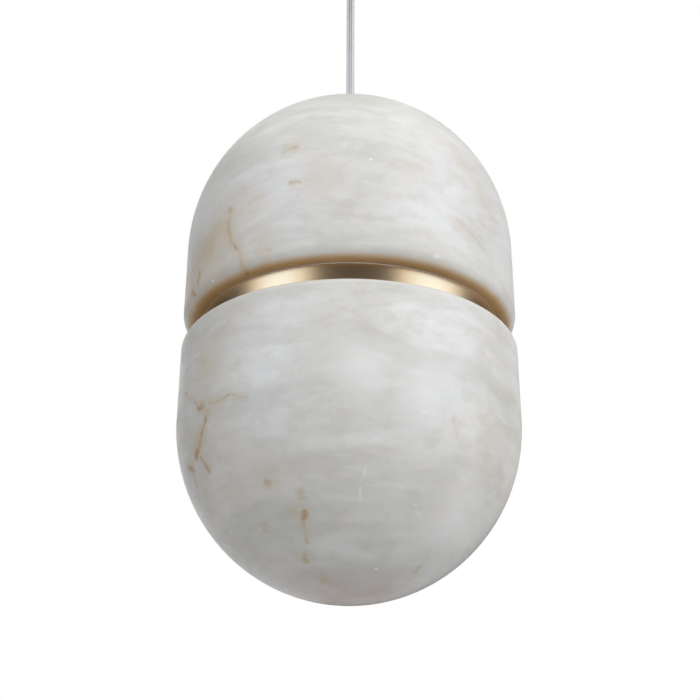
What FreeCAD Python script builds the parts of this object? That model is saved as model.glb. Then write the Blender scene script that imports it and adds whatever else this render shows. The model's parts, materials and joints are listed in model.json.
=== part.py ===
import FreeCAD
import Part
import math
import os
import Sketcher

# Alabaster bowl pendant: two hollow stone halves, a dome above and a bowl below, with a brass band
# set back between them. It hangs on a clear cable from a rose on the ceiling.
# Millimetres. The origin is the centre of the rose's ceiling face, and +Z is up.

V = FreeCAD.Vector
doc = FreeCAD.newDocument("alabaster_pendant")
sheet = doc.addObject("Spreadsheet::Sheet", "Sizes")

# Driving dimensions: cell name, value, what it is. Levels of the rose are from the ceiling, levels
# of the two grips from their own pivot, and all others from the plane of the dome's rim.
DIMENSIONS = [
    ("stone_radius", 110, "outside radius of both stone halves"),
    ("stone_wall", 12, "stone thickness at the straight walls"),
    ("crown_wall", 10, "stone thickness at the middle of a cap"),
    ("dome_straight", 56, "height of the dome's straight wall"),
    ("dome_cap", 114, "rise of the dome's cap above its straight wall"),
    ("dome_round", 8.7, "rounding of the dome's outer rim"),
    ("bowl_straight", 51.8, "height of the bowl's straight wall"),
    ("bowl_cap", 111.9, "depth of the bowl's cap below its straight wall"),
    ("bowl_round", 5, "rounding of the bowl's outer rim"),
    ("rim_level", -365, "the dome's rim plane, from the ceiling"),
    ("bowl_rim", -14.6, "the bowl's rim plane, from the dome's"),
    ("apex_flat", 169, "flat ground on top of the dome"),
    ("apex_flat_radius", 14.6, "radius of that flat"),
    ("crown_seat", 160, "flat ground inside the dome's crown"),
    ("crown_seat_radius", 18.5, "radius of that seat"),
    ("apex_hole", 6, "radius of the hole through the crown"),
    ("band_outer", 100, "outside radius of the brass band"),
    ("band_inner", 97, "inside radius of the brass band"),
    ("band_top", -0.6, "top edge of the band, under the upper gasket"),
    ("band_bottom", -13.3, "bottom edge of the band"),
    ("band_edge", 0.4, "rounding of the band's edges"),
    ("upper_gasket_inner", 97.4, "inside radius of the gasket under the dome"),
    ("upper_gasket_outer", 99.4, "outside radius of the gasket under the dome"),
    ("lower_gasket_inner", 95, "inside radius of the gasket on the bowl"),
    ("lower_gasket_outer", 99.8, "outside radius of the gasket on the bowl"),
    ("lower_gasket_top", -13.6, "top of the gasket on the bowl"),
    ("ring_inner", 91, "inside radius of the bayonet ring"),
    ("flange_inner", 80, "inside radius of the ring's flange"),
    ("ring_top", 8, "top of the ring's flange"),
    ("flange_bottom", 5, "underside of the ring's flange"),
    ("ring_bottom", -13, "bottom of the bayonet ring"),
    ("bayonet_count", 3, "pins, and slots for them"),
    ("bayonet_turn", 90, "turn that frees the bowl"),
    ("bayonet_drop", 8, "how far the bowl comes down in that turn"),
    ("pin_radius", 2.5, "radius of a bayonet pin"),
    ("pin_level", 1.2, "middle of the pins with the bowl closed"),
    ("pin_tip", 94.1, "distance of a pin's tip from the axis"),
    ("pin_space", 0.4, "space between a pin and its slot"),
    ("pin_start", 2, "angle from the slot's closed end to its pin"),
    ("slot_depth", 94.4, "distance of the slot's floor from the axis"),
    ("spigot_inner", 88, "inside radius of the collar's spigot"),
    ("spigot_outer", 90.7, "outside radius of the collar's spigot"),
    ("spigot_top", 4.6, "top of the spigot"),
    ("collar_inner", 95, "inside radius of the collar's skirt inside the bowl"),
    ("collar_web", -17.6, "underside of the collar's web"),
    ("collar_bottom", -30, "bottom of the collar inside the bowl"),
    ("carrier_radius", 90, "radius of the carrier plate"),
    ("carrier_top", 11, "top of the carrier plate"),
    ("vent_count", 12, "round vents in the carrier plate"),
    ("vent_circle", 73, "their distance from the axis"),
    ("vent_radius", 5, "their radius"),
    ("carrier_screw_count", 6, "screws between carrier and ring"),
    ("carrier_screw_circle", 85.5, "their distance from the axis"),
    ("screw_radius", 2, "M4 shank"),
    ("screw_head", 3.6, "M4 head radius"),
    ("screw_head_tall", 2.6, "M4 head height"),
    ("carrier_screw_tip", 5.6, "end of those screws in the flange"),
    ("tube_radius", 5, "M10 x 1 hub tube, outside"),
    ("tube_bore", 3.5, "M10 x 1 hub tube, inside"),
    ("tube_bottom", 2, "lower end of the hub tube"),
    ("tube_top", 178.1, "upper end of the hub tube"),
    ("nut_flats", 16, "width across the flats of the M10 x 1 nuts"),
    ("nut_tall", 5, "height of those nuts"),
    ("pad_top", 170, "top of the silicone pad on the dome"),
    ("pad_radius", 14, "radius of that pad"),
    ("apex_washer_top", 172, "top of the brass washer on the dome"),
    ("apex_washer_radius", 15, "radius of that washer"),
    ("crown_pad_bottom", 158.5, "underside of the silicone pad in the crown"),
    ("crown_washer_bottom", 156, "underside of the steel washer in the crown"),
    ("crown_washer_radius", 18, "radius of the crown's pad and washer"),
    ("board_inner", 20, "inside radius of the lamp boards"),
    ("board_outer", 58, "outside radius of the lamp boards"),
    ("board_thick", 1.6, "thickness of the lamp boards"),
    ("chip_count", 12, "lamp chips on each circle of a board"),
    ("chip_circle_near", 36, "inner circle of chips"),
    ("chip_circle_far", 52, "outer circle of chips"),
    ("chip_side", 3.5, "side of a chip"),
    ("chip_tall", 0.8, "height of a chip"),
    ("board_screw_count", 3, "screws that hold each lamp board"),
    ("board_screw_circle", 44, "their distance from the axis"),
    ("small_screw", 1.5, "M3 shank"),
    ("small_screw_head", 2.8, "M3 head radius"),
    ("small_screw_head_tall", 1.8, "M3 head height"),
    ("diffuser_radius", 62, "outside radius of a diffuser"),
    ("diffuser_foot", 67, "radius of a diffuser's foot"),
    ("diffuser_wall", 2, "wall of a diffuser"),
    ("diffuser_tall", 20, "height of a diffuser"),
    ("diffuser_round", 8, "rounding of a diffuser's shoulder"),
    ("diffuser_hole", 6, "radius of the hole in the upper diffuser"),
    ("diffuser_screw_count", 3, "screws through both diffusers' feet"),
    ("diffuser_screw_circle", 64.5, "their distance from the axis"),
    ("lead_radius", 0.8, "radius of a lead"),
    ("lead_bend", 4, "radius of a lead's bends"),
    ("lead_start", 1.2, "a lead's distance from the axis inside the tube"),
    ("lead_spread", 1.2, "half the distance between the two leads of a pair"),
    ("lead_fall", 8, "how far the leads start inside the tube and hang below it"),
    ("lead_reach", 26, "where the leads meet the boards"),
    ("lead_out", 14, "where a pair goes up through the carrier"),
    ("lead_over", 5, "how far that pair rises over the upper board"),
    ("lead_hole", 2.4, "radius of the carrier's hole for that pair"),
    ("cord_radius", 3, "radius of the clear cable"),
    ("upper_pivot", -43, "where the cable swings, under the rose"),
    ("lower_pivot", -178, "where the pendant tilts, over the dome"),
    ("pivot_space", 3.3, "from a pivot to the next solid along the cable"),
    ("mouth_depth", 3, "from a pivot to the grip's mouth"),
    ("mouth_throat", 3.5, "radius of the cable's passage at the pivot"),
    ("mouth_radius", 5, "radius of the grip's mouth"),
    ("grip_radius", 9, "outside radius of both cable grips"),
    ("grip_lip", 7, "outside radius of a grip at its mouth"),
    ("insert_radius", 7.5, "radius of the clamping inserts"),
    ("insert_tall", 4.7, "height of the clamping inserts"),
    ("cup_bottom", -14.7, "bottom of the lower grip's cup"),
    ("cup_floor", -12.2, "floor inside that cup"),
    ("cup_bore", 5.1, "radius of the cup's bore round the hub tube"),
    ("swivel_radius", 7.2, "radius of the nut that carries the pendant"),
    ("swivel_bottom", -11.9, "underside of that nut"),
    ("rose_radius", 60, "outside radius of the rose cover"),
    ("rose_wall", 1.2, "sheet thickness of the rose cover"),
    ("rose_top", -0.5, "top edge of the rose cover"),
    ("rose_bottom", -30, "underside of the rose cover"),
    ("rose_round", 4, "rounding of the rose cover's lower edge"),
    ("plate_radius", 55, "radius of the mounting plate"),
    ("plate_thick", 2, "thickness of the mounting plate"),
    ("slot_reach", 40, "ceiling screw slots, from the centre"),
    ("slot_long", 12, "length of those slots between end centres"),
    ("slot_radius", 2.5, "end radius of those slots"),
    ("supply_reach", 18, "mains cable hole, from the centre"),
    ("supply_radius", 6, "radius of the mains cable hole"),
    ("tab_outer", 55, "outer face of the cover's two brackets"),
    ("tab_thick", 2, "sheet thickness of the brackets"),
    ("tab_half", 5, "half width of a bracket's upright"),
    ("tab_drop", 14, "how far the uprights reach down from the ceiling"),
    ("tab_foot", 50.2, "inner edge of a bracket's foot"),
    ("tab_foot_half", 10, "half width of a bracket's foot"),
    ("rivet_radius", 1.2, "radius of the brackets' rivets"),
    ("rivet_head", 1.9, "radius of their heads"),
    ("rivet_head_tall", 0.9, "height of their heads"),
    ("rivet_reach", 52.2, "the rivets, from the middle along X"),
    ("rivet_side", 7.8, "the rivets, from the middle along Y"),
    ("cover_screw_level", -8, "level of the cover's side screws"),
    ("cover_screw_count", 2, "screws in the side of the cover"),
    ("outlet_shank_top", 21, "top of the outlet grip's thread"),
    ("outlet_nut_tall", 4, "height of the outlet grip's nut"),
    ("tail_top", 27, "upper end of the cable inside the rose"),
    ("clamp_radius", 4.5, "radius of the steel wire's clamp"),
    ("driver_long", 64, "length of the lamp driver"),
    ("driver_wide", 32, "width of the lamp driver"),
    ("driver_tall", 20, "height of the lamp driver"),
    ("driver_near", 13, "its side next to the cable"),
    ("driver_ear", 7, "length of its two screw ears"),
    ("driver_ear_half", 5, "half width of the ears"),
    ("driver_ear_thick", 2, "thickness of the ears"),
    ("driver_screw_reach", 35.5, "its screws, from the middle"),
    ("terminal_long", 24, "length of the mains terminal block"),
    ("terminal_wide", 14, "width of the mains terminal block"),
    ("terminal_tall", 13, "height of the mains terminal block"),
    ("terminal_near", 29, "its side next to the mains cable hole"),
    ("terminal_pitch", 7.5, "distance between its screws"),
    ("terminal_well", 2.6, "radius of its screw wells"),
    ("terminal_well_deep", 5, "depth of its screw wells"),
    ("terminal_screw", 2, "radius of its screws"),
    ("terminal_mouth", 1.8, "radius of its wire holes"),
    ("mains_straight", 5, "first run of the mains leads out of the terminal"),
    ("mains_side", 20, "how far to one side the mains leads pass the cable"),
    ("mains_step", 3, "distance between the two mains leads"),
    ("output_level", -19, "level of the driver's output leads"),
    ("output_spread", 1.5, "half the distance between the output leads"),
]
for row, (name, size, note) in enumerate(DIMENSIONS, 1):
    sheet.set("A%d" % row, name)
    sheet.set("B%d" % row, str(size))
    sheet.set("C%d" % row, note)
    sheet.setAlias("B%d" % row, name)
doc.recompute()

parts = []


def cells(text):
    """The text as an expression: every word in it is the name of a cell."""
    words = str(text).split()
    return " ".join("Sizes." + word if word[0].isalpha() else word for word in words)


def number(text):
    """The present value of such an expression."""
    return float(sheet.evalExpression(cells(text)))


def bind(item, path, text):
    """Bind a property of an object to the sheet."""
    item.setExpression(path, cells(text))


# ---- sketches and features ----

def new_body(name, level="0", turn="0"):
    """A sub-part at a level, turned about the vertical axis."""
    body = doc.addObject("PartDesign::Body", name)
    body.Label = name
    bind(body, "Placement.Base.z", level)
    if turn != "0":
        bind(body, "Placement.Rotation.Angle", turn)
    parts.append(body)
    return body


def origin_of(body, role):
    """One of the body's own origin planes or axes."""
    return [item for item in body.Origin.OriginFeatures if item.Role == role][0]


def new_sketch(body, plane="XZ_Plane", offset="0"):
    """A sketch on one of the body's origin planes, moved along its normal."""
    sketch = body.newObject("Sketcher::SketchObject", body.Name + "_sketch")
    sketch.AttachmentSupport = [(origin_of(body, plane), "")]
    sketch.MapMode = "FlatFace"
    bind(sketch, "AttachmentOffset.Base.z", offset)
    return sketch


def tie(sketch, *ends):
    """Join the end of one line or arc to the end of another."""
    sketch.addConstraint(Sketcher.Constraint("Coincident", *ends))


def bind_value(sketch, kind, where, text):
    """A dimension of the sketch that follows the sheet."""
    index = sketch.addConstraint(Sketcher.Constraint(kind, *where, number(text)))
    bind(sketch, "Constraints[%d]" % index, text)


def bind_point(sketch, line, end, across, up):
    """Place a point of the sketch by two dimensions from its origin."""
    bind_value(sketch, "DistanceX", (line, end), across)
    bind_value(sketch, "DistanceY", (line, end), up)


def draw_outline(sketch, corners):
    """A closed outline of straight lines through the corners."""
    first = sketch.GeometryCount
    count = len(corners)
    points = [V(number(across), number(up), 0) for across, up in corners]
    for side in range(count):
        line = Part.LineSegment(points[side], points[(side + 1) % count])
        sketch.addGeometry(line, False)
    for side, (across, up) in enumerate(corners):
        tie(sketch, first + side, 2, first + (side + 1) % count, 1)
        bind_point(sketch, first + side, 1, across, up)


def draw_rectangle(sketch, left, right, low, high):
    """A rectangle between two widths and two heights."""
    draw_outline(sketch, [(left, low), (right, low), (right, high), (left, high)])


def draw_circle(sketch, radius, across="0", up="0"):
    """A circle round a point."""
    middle = V(number(across), number(up), 0)
    index = sketch.addGeometry(Part.Circle(middle, V(0, 0, 1), number(radius)), False)
    bind_value(sketch, "Radius", (index,), radius)
    bind_point(sketch, index, 3, across, up)


def add_feature(body, kind, sketch):
    """A feature of the body made from a sketch."""
    feature = body.newObject("PartDesign::" + kind, body.Name + "_" + kind.lower())
    feature.Profile = sketch
    return feature


def revolve(body, sketch):
    """Turn the sketch once round the vertical axis."""
    feature = add_feature(body, "Revolution", sketch)
    feature.ReferenceAxis = (sketch, ["V_Axis"])
    feature.Angle = 360
    doc.recompute()
    return feature


def pad(body, sketch, length, reverse=False):
    """Raise the sketch by a length."""
    feature = add_feature(body, "Pad", sketch)
    feature.Reversed = reverse
    bind(feature, "Length", length)
    doc.recompute()
    return feature


def pocket(body, sketch, length=None, upward=False):
    """Cut the sketch out: through everything on both sides, or to one side only."""
    before = body.Shape.Volume
    feature = add_feature(body, "Pocket", sketch)
    feature.Reversed = upward
    if length is None:
        feature.Type = "ThroughAll"
        feature.SideType = "Symmetric"
    elif length == "all":
        feature.Type = "ThroughAll"
    else:
        bind(feature, "Length", length)
    doc.recompute()
    if not body.Shape.Volume < before:
        raise RuntimeError("a pocket in %s cuts nothing" % body.Label)
    return feature


def polar(body, features, count):
    """Repeat features evenly round the vertical axis."""
    pattern = body.newObject("PartDesign::PolarPattern", body.Name + "_round")
    pattern.Originals = features
    pattern.Axis = (origin_of(body, "Z_Axis"), [""])
    pattern.Angle = 360
    bind(pattern, "Occurrences", count)
    body.Tip = pattern
    doc.recompute()
    return pattern


def edges_at(shape, radius, level):
    """Names of the horizontal circular edges of a radius at a level."""
    found = []
    for index, edge in enumerate(shape.Edges, 1):
        if edge.Degenerated or not isinstance(edge.Curve, Part.Circle):
            continue
        curve = edge.Curve
        upright = abs(curve.Axis.z) > 0.99
        if upright and abs(curve.Radius - radius) < 0.001 and abs(curve.Center.z - level) < 0.001:
            found.append("Edge%d" % index)
    return found


def round_rims(body, radius, rims):
    """Fillet the circular edges given as pairs of radius and level."""
    base = body.Tip
    edges = []
    for rim, level in rims:
        edges += edges_at(base.Shape, number(rim), number(level))
    if len(edges) != len(rims):
        raise RuntimeError("an edge of %s isn't where it should be" % body.Label)
    fillet = body.newObject("PartDesign::Fillet", body.Name + "_fillet")
    fillet.Base = (base, edges)
    bind(fillet, "Radius", radius)
    doc.recompute()


def turned(name, level, corners, turn="0"):
    """A turned piece with an outline of straight lines."""
    body = new_body(name, level, turn)
    sketch = new_sketch(body)
    draw_outline(sketch, corners)
    revolve(body, sketch)
    return body


def ring(name, level, inner, outer, low, high):
    """A plain ring, or a disc where the inner radius is 0."""
    corners = [(inner, low), (outer, low), (outer, high), (inner, high)]
    return turned(name, level, corners)


def holes_round(body, radius, circle, count):
    """Round holes straight through, evenly spaced on a circle."""
    sketch = new_sketch(body, "XY_Plane")
    draw_circle(sketch, radius, circle, "0")
    return polar(body, [pocket(body, sketch)], count)


def hex_nut(name, level, low, tall, bore="tube_radius"):
    """A six-sided nut, whose corners lie at the width across its flats over the root of 3."""
    prism = doc.addObject("Part::Prism", name + "_block")
    prism.Polygon = 6
    bind(prism, "Circumradius", "nut_flats / 3 ^ 0.5")
    bind(prism, "Height", tall)
    hole = doc.addObject("Part::Cylinder", name + "_bore")
    bind(hole, "Radius", bore)
    bind(hole, "Height", tall)
    nut = doc.addObject("Part::Cut", name)
    nut.Label = name
    nut.Base = prism
    nut.Tool = hole
    bind(nut, "Placement.Base.z", level + " + " + low)
    parts.append(nut)
    doc.recompute()
    return nut


def screws(name, level, count, circle, shank, head, seat, tip, head_tall):
    """Upright screws on a circle: heads stand on the seat, shanks reach from it to the tip."""
    body = new_body(name, level)
    points_down = number(tip) < number(seat)
    shank_sketch = new_sketch(body, "XY_Plane", tip if points_down else seat)
    draw_circle(shank_sketch, shank, circle, "0")
    length = "%s - ( %s )" % ((seat, tip) if points_down else (tip, seat))
    shank_pad = pad(body, shank_sketch, length)
    head_sketch = new_sketch(body, "XY_Plane", seat)
    draw_circle(head_sketch, head, circle, "0")
    head_pad = pad(body, head_sketch, head_tall, reverse=not points_down)
    polar(body, [shank_pad, head_pad], count)
    return body


# ---- the stone halves ----

def stone_half(name, straight, cap, rim_round):
    """A hollow half, open at its rim: a straight wall, then half an ellipse, inside and outside."""
    body = new_body(name)
    sketch = new_sketch(body)
    inner = "stone_radius - stone_wall"
    top = straight + " + " + cap
    inner_top = top + " - crown_wall"
    shoulder = number(straight)
    middle = V(0, shoulder, 0)
    corner = [V(number(inner), 0, 0), V(number("stone_radius"), 0, 0)]
    side = [V(number(inner), shoulder, 0), V(number("stone_radius"), shoulder, 0)]
    crown = [V(0, number(inner_top), 0), V(0, number(top), 0)]
    caps = []
    for wall in (0, 1):
        opposite = V(-side[wall].x, shoulder, 0)
        ellipse = Part.Ellipse(crown[wall], opposite, middle)
        caps.append(Part.ArcOfEllipse(ellipse, -math.pi / 2, 0))
    sketch.addGeometry(Part.LineSegment(corner[0], corner[1]), False)
    sketch.addGeometry(Part.LineSegment(corner[1], side[1]), False)
    sketch.addGeometry(caps[1], False)
    sketch.addGeometry(Part.LineSegment(crown[1], crown[0]), False)
    sketch.addGeometry(caps[0], False)
    sketch.addGeometry(Part.LineSegment(side[0], corner[0]), False)
    tie(sketch, 0, 2, 1, 1)
    tie(sketch, 1, 2, 2, 1)
    tie(sketch, 2, 2, 3, 1)
    tie(sketch, 3, 2, 4, 2)
    tie(sketch, 4, 1, 5, 1)
    tie(sketch, 5, 2, 0, 1)
    for arc in (2, 4):
        upright = sketch.GeometryCount
        sketch.exposeInternalGeometry(arc)
        sketch.addConstraint(Sketcher.Constraint("Vertical", upright))
        bind_point(sketch, arc, 3, "0", straight)
    bind_point(sketch, 0, 1, inner, "0")
    bind_point(sketch, 1, 1, "stone_radius", "0")
    bind_point(sketch, 2, 1, "stone_radius", straight)
    bind_point(sketch, 3, 1, "0", top)
    bind_point(sketch, 3, 2, "0", inner_top)
    bind_point(sketch, 5, 1, inner, straight)
    revolve(body, sketch)
    round_rims(body, rim_round, [("stone_radius", "0")])
    return body


def make_stone():
    """The dome, drilled and ground flat at its crown, and the bowl, turned over."""
    dome = stone_half("upper_dome", "dome_straight", "dome_cap", "dome_round")
    bind(dome, "Placement.Base.z", "rim_level")
    flat = new_sketch(dome, "XY_Plane", "apex_flat")
    draw_circle(flat, "apex_flat_radius")
    pocket(dome, flat, "all", upward=True)
    seat = new_sketch(dome, "XY_Plane", "crown_seat")
    draw_circle(seat, "crown_seat_radius")
    pocket(dome, seat, "all")
    hole = new_sketch(dome, "XY_Plane")
    draw_circle(hole, "apex_hole")
    pocket(dome, hole)

    bowl = stone_half("lower_bowl", "bowl_straight", "bowl_cap", "bowl_round")
    bowl.Placement = FreeCAD.Placement(V(0, 0, 0), FreeCAD.Rotation(V(1, 0, 0), 180))
    bind(bowl, "Placement.Base.z", "rim_level + bowl_rim")


# ---- band, ring and collar between the halves ----

def make_band():
    """The brass band with its gaskets."""
    band = ring("brass_band", "rim_level", "band_inner", "band_outer", "band_bottom", "band_top")
    round_rims(band, "band_edge", [("band_outer", "band_bottom"), ("band_outer", "band_top")])
    ring("upper_gasket", "rim_level", "upper_gasket_inner", "upper_gasket_outer", "band_top", "0")
    ring("lower_gasket", "rim_level", "lower_gasket_inner", "lower_gasket_outer",
         "bowl_rim", "lower_gasket_top")


def make_bayonet_ring():
    """The ring inside the band, with a flange on top and three sloping slots for the pins."""
    body = turned("bayonet_ring", "rim_level", [
        ("ring_inner", "ring_bottom"),
        ("band_inner", "ring_bottom"),
        ("band_inner", "ring_top"),
        ("flange_inner", "ring_top"),
        ("flange_inner", "flange_bottom"),
        ("ring_inner", "flange_bottom"),
    ])
    # The slot starts past its pin, on the X axis, and runs down to the right seen from outside.
    start = "pin_level + bayonet_drop * pin_start / bayonet_turn"
    half = "pin_radius + pin_space"
    slot = new_sketch(body)
    draw_rectangle(slot, "spigot_outer", "slot_depth", start + " - " + "( " + half + " )",
                   start + " + " + half)
    sweep = add_feature(body, "SubtractiveHelix", slot)
    sweep.ReferenceAxis = (slot, ["V_Axis"])
    sweep.Mode = "pitch-turns-angle"
    sweep.Reversed = True
    bind(sweep, "Pitch", "bayonet_drop * 360 / bayonet_turn")
    bind(sweep, "Turns", "( bayonet_turn + 2 * pin_start ) / 360")
    doc.recompute()
    # The way out at the slot's low end goes straight down.
    mouth = new_sketch(body, "XY_Plane", "ring_bottom")
    mouth.setExpression("AttachmentOffset.Rotation.Angle", cells("- pin_start"))
    draw_rectangle(mouth, "- ( " + half + " )", half, "- slot_depth", "- spigot_outer")
    way_out = pocket(body, mouth, "pin_level - bayonet_drop - ring_bottom", upward=True)
    polar(body, [sweep, way_out], "bayonet_count")
    screw_holes = new_sketch(body, "XY_Plane")
    draw_circle(screw_holes, "screw_radius", "carrier_screw_circle", "0")
    polar(body, [pocket(body, screw_holes)], "carrier_screw_count")


def make_collar():
    """The collar bonded inside the bowl's rim, its spigot and the three pins pressed into it."""
    body = turned("bowl_collar", "rim_level", [
        ("collar_inner", "collar_bottom"),
        ("stone_radius - stone_wall", "collar_bottom"),
        ("stone_radius - stone_wall", "bowl_rim"),
        ("spigot_outer", "bowl_rim"),
        ("spigot_outer", "spigot_top"),
        ("spigot_inner", "spigot_top"),
        ("spigot_inner", "collar_web"),
        ("collar_inner", "collar_web"),
    ], turn="- pin_start")
    hole = new_sketch(body, "YZ_Plane")
    draw_circle(hole, "pin_radius", "0", "pin_level")
    polar(body, [pocket(body, hole, "all", upward=True)], "bayonet_count")

    pins = new_body("bayonet_pins", "rim_level", turn="- pin_start")
    pin = new_sketch(pins, "YZ_Plane", "spigot_inner")
    draw_circle(pin, "pin_radius", "0", "pin_level")
    polar(pins, [pad(pins, pin, "pin_tip - spigot_inner")], "bayonet_count")


# ---- hub tube, carrier plate and lamps ----

def make_hub():
    """The tube that carries everything, with the stack of washers, pads and nuts on it."""
    ring("hub_tube", "rim_level", "tube_bore", "tube_radius", "tube_bottom", "tube_top")
    ring("apex_pad", "rim_level", "tube_radius", "pad_radius", "apex_flat", "pad_top")
    washer = ring("apex_washer", "rim_level", "tube_radius", "apex_washer_radius",
                  "pad_top", "apex_washer_top")
    round_rims(washer, "band_edge", [("apex_washer_radius", "apex_washer_top")])
    ring("crown_pad", "rim_level", "tube_radius", "crown_washer_radius",
         "crown_pad_bottom", "crown_seat")
    ring("crown_washer", "rim_level", "tube_radius", "crown_washer_radius",
         "crown_washer_bottom", "crown_pad_bottom")
    hex_nut("crown_nut", "rim_level", "crown_washer_bottom - nut_tall", "nut_tall")
    hex_nut("carrier_nut_upper", "rim_level", "carrier_top", "nut_tall")
    hex_nut("carrier_nut_lower", "rim_level", "ring_top - nut_tall", "nut_tall")


def make_carrier():
    """The aluminium plate that holds the ring and both lamp boards and takes their heat."""
    plate = ring("carrier_plate", "rim_level", "tube_radius", "carrier_radius",
                 "ring_top", "carrier_top")
    holes_round(plate, "vent_radius", "vent_circle", "vent_count")
    holes_round(plate, "screw_radius", "carrier_screw_circle", "carrier_screw_count")
    holes_round(plate, "small_screw", "diffuser_screw_circle", "diffuser_screw_count")
    holes_round(plate, "small_screw", "board_screw_circle", "board_screw_count")
    lead_hole = new_sketch(plate, "XY_Plane")
    draw_circle(lead_hole, "lead_hole", "- lead_out", "0")
    pocket(plate, lead_hole)
    screws("carrier_screws", "rim_level", "carrier_screw_count", "carrier_screw_circle",
           "screw_radius", "screw_head", "carrier_top", "carrier_screw_tip", "screw_head_tall")


def make_lamp_board(side, face, lift):
    """A round board on one face of the carrier, with two circles of chips on it."""
    low = face if lift > 0 else face + " - board_thick"
    high = face + " + board_thick" if lift > 0 else face
    board = ring("lamp_board_" + side, "rim_level", "board_inner", "board_outer", low, high)
    holes_round(board, "small_screw", "board_screw_circle", "board_screw_count")
    chips = new_body("lamp_chips_" + side, "rim_level")
    sketch = new_sketch(chips, "XY_Plane", high if lift > 0 else low)
    for circle in ("chip_circle_near", "chip_circle_far"):
        draw_rectangle(sketch, circle + " - chip_side / 2", circle + " + chip_side / 2",
                       "- chip_side / 2", "chip_side / 2")
    polar(chips, [pad(chips, sketch, "chip_tall", reverse=lift < 0)], "chip_count")


def make_diffuser(side, face, lift, hub_hole):
    """An opal cover over a lamp board, with a foot that is screwed to the carrier."""
    sign = " + " if lift > 0 else " - "
    top = face + sign + "diffuser_tall"
    under_top = top + (" - " if lift > 0 else " + ") + "diffuser_wall"
    foot = face + sign + "diffuser_wall"
    body = turned("diffuser_" + side, "rim_level", [
        ("diffuser_radius - diffuser_wall", face),
        ("diffuser_foot", face),
        ("diffuser_foot", foot),
        ("diffuser_radius", foot),
        ("diffuser_radius", top),
        (hub_hole, top),
        (hub_hole, under_top),
        ("diffuser_radius - diffuser_wall", under_top),
    ])
    round_rims(body, "diffuser_round", [("diffuser_radius", top)])
    round_rims(body, "diffuser_round - diffuser_wall",
               [("diffuser_radius - diffuser_wall", under_top)])
    holes_round(body, "small_screw", "diffuser_screw_circle", "diffuser_screw_count")


def lead(path, radius):
    """A round lead along square corners, with arcs of one radius at them."""
    bend = number("lead_bend")
    edges = []
    start = path[0]
    for corner, after in zip(path[1:-1], path[2:]):
        arrive = (corner - start).normalize()
        leave = (after - corner).normalize()
        arc_start = corner - arrive * bend
        arc_end = corner + leave * bend
        middle = corner + (leave - arrive) * bend * (1 - math.sqrt(0.5))
        edges.append(Part.LineSegment(start, arc_start).toShape())
        edges.append(Part.Arc(arc_start, middle, arc_end).toShape())
        start = arc_end
    edges.append(Part.LineSegment(start, path[-1]).toShape())
    along = (path[1] - path[0]).normalize()
    section = Part.Wire(Part.Circle(path[0], along, radius).toShape())
    return Part.Wire(edges).makePipeShell([section], True, False)


def add_leads(name, solids, level):
    """A sub-part of several leads."""
    leads = doc.addObject("Part::Feature", name)
    leads.Label = name
    leads.Shape = Part.makeCompound(solids)
    leads.Placement = FreeCAD.Placement(V(0, 0, level), FreeCAD.Rotation())
    parts.append(leads)


def make_leads():
    """Two pairs of leads from the hub tube: one to the lower board, one through the carrier."""
    radius = number("lead_radius")
    low = number("tube_bottom - lead_fall")
    inside = number("tube_bottom + lead_fall")
    pair_side = number("lead_spread")
    lower_face = number("ring_top - board_thick")
    upper_face = number("carrier_top + board_thick")
    over = upper_face + number("lead_over")
    reach = number("lead_reach")
    out = number("lead_out")
    solids = []
    for side in (-pair_side, pair_side):
        start = number("lead_start")
        solids.append(lead([
            V(start, side, inside), V(start, side, low), V(reach, side, low),
            V(reach, side, lower_face),
        ], radius))
        solids.append(lead([
            V(-start, side, inside), V(-start, side, low), V(-out, side, low),
            V(-out, side, over), V(-reach, side, over), V(-reach, side, upper_face),
        ], radius))
    add_leads("lamp_leads", solids, number("rim_level"))


def make_lamps():
    """Boards, chips, diffusers, their screws and leads."""
    make_lamp_board("up", "carrier_top", 1)
    make_lamp_board("down", "ring_top", -1)
    screws("board_screws_up", "rim_level", "board_screw_count", "board_screw_circle",
           "small_screw", "small_screw_head", "carrier_top + board_thick",
           "ring_top + board_thick", "small_screw_head_tall")
    make_diffuser("up", "carrier_top", 1, "diffuser_hole")
    make_diffuser("down", "ring_top", -1, "0")
    make_leads()


# ---- cable and its grips ----

def make_cord():
    """The free cable, with round ends that turn in the grips."""
    body = new_body("power_cord")
    sketch = new_sketch(body)
    radius = number("cord_radius")
    high = V(0, number("upper_pivot"), 0)
    low = V(0, number("lower_pivot"), 0)
    out = V(radius, 0, 0)
    rise = V(0, radius, 0)
    normal = V(0, 0, 1)
    sketch.addGeometry(Part.ArcOfCircle(Part.Circle(high, normal, radius), 0, math.pi / 2), False)
    sketch.addGeometry(Part.LineSegment(high + rise, low - rise), False)
    sketch.addGeometry(Part.ArcOfCircle(Part.Circle(low, normal, radius), -math.pi / 2, 0), False)
    sketch.addGeometry(Part.LineSegment(low + out, high + out), False)
    tie(sketch, 0, 2, 1, 1)
    tie(sketch, 1, 2, 2, 1)
    tie(sketch, 2, 2, 3, 1)
    tie(sketch, 3, 2, 0, 1)
    bind_point(sketch, 0, 3, "0", "upper_pivot")
    bind_point(sketch, 0, 1, "cord_radius", "upper_pivot")
    bind_point(sketch, 2, 3, "0", "lower_pivot")
    bind_point(sketch, 2, 2, "cord_radius", "lower_pivot")
    for arc, end in ((0, 2), (2, 1)):
        sketch.addConstraint(Sketcher.Constraint("PointOnObject", arc, end, -2))
    revolve(body, sketch)
    # One straight run between two round ends: no bend, so there is no radius to print.
    run = (high - low).Length
    expected = math.pi * radius ** 2 * run + 4 / 3 * math.pi * radius ** 3
    print("cable: a run of %.1f mm, no bends, %.1f mm3 for a section times length with its ends of"
          " %.1f mm3" % (run, body.Shape.Volume, expected))


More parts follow.
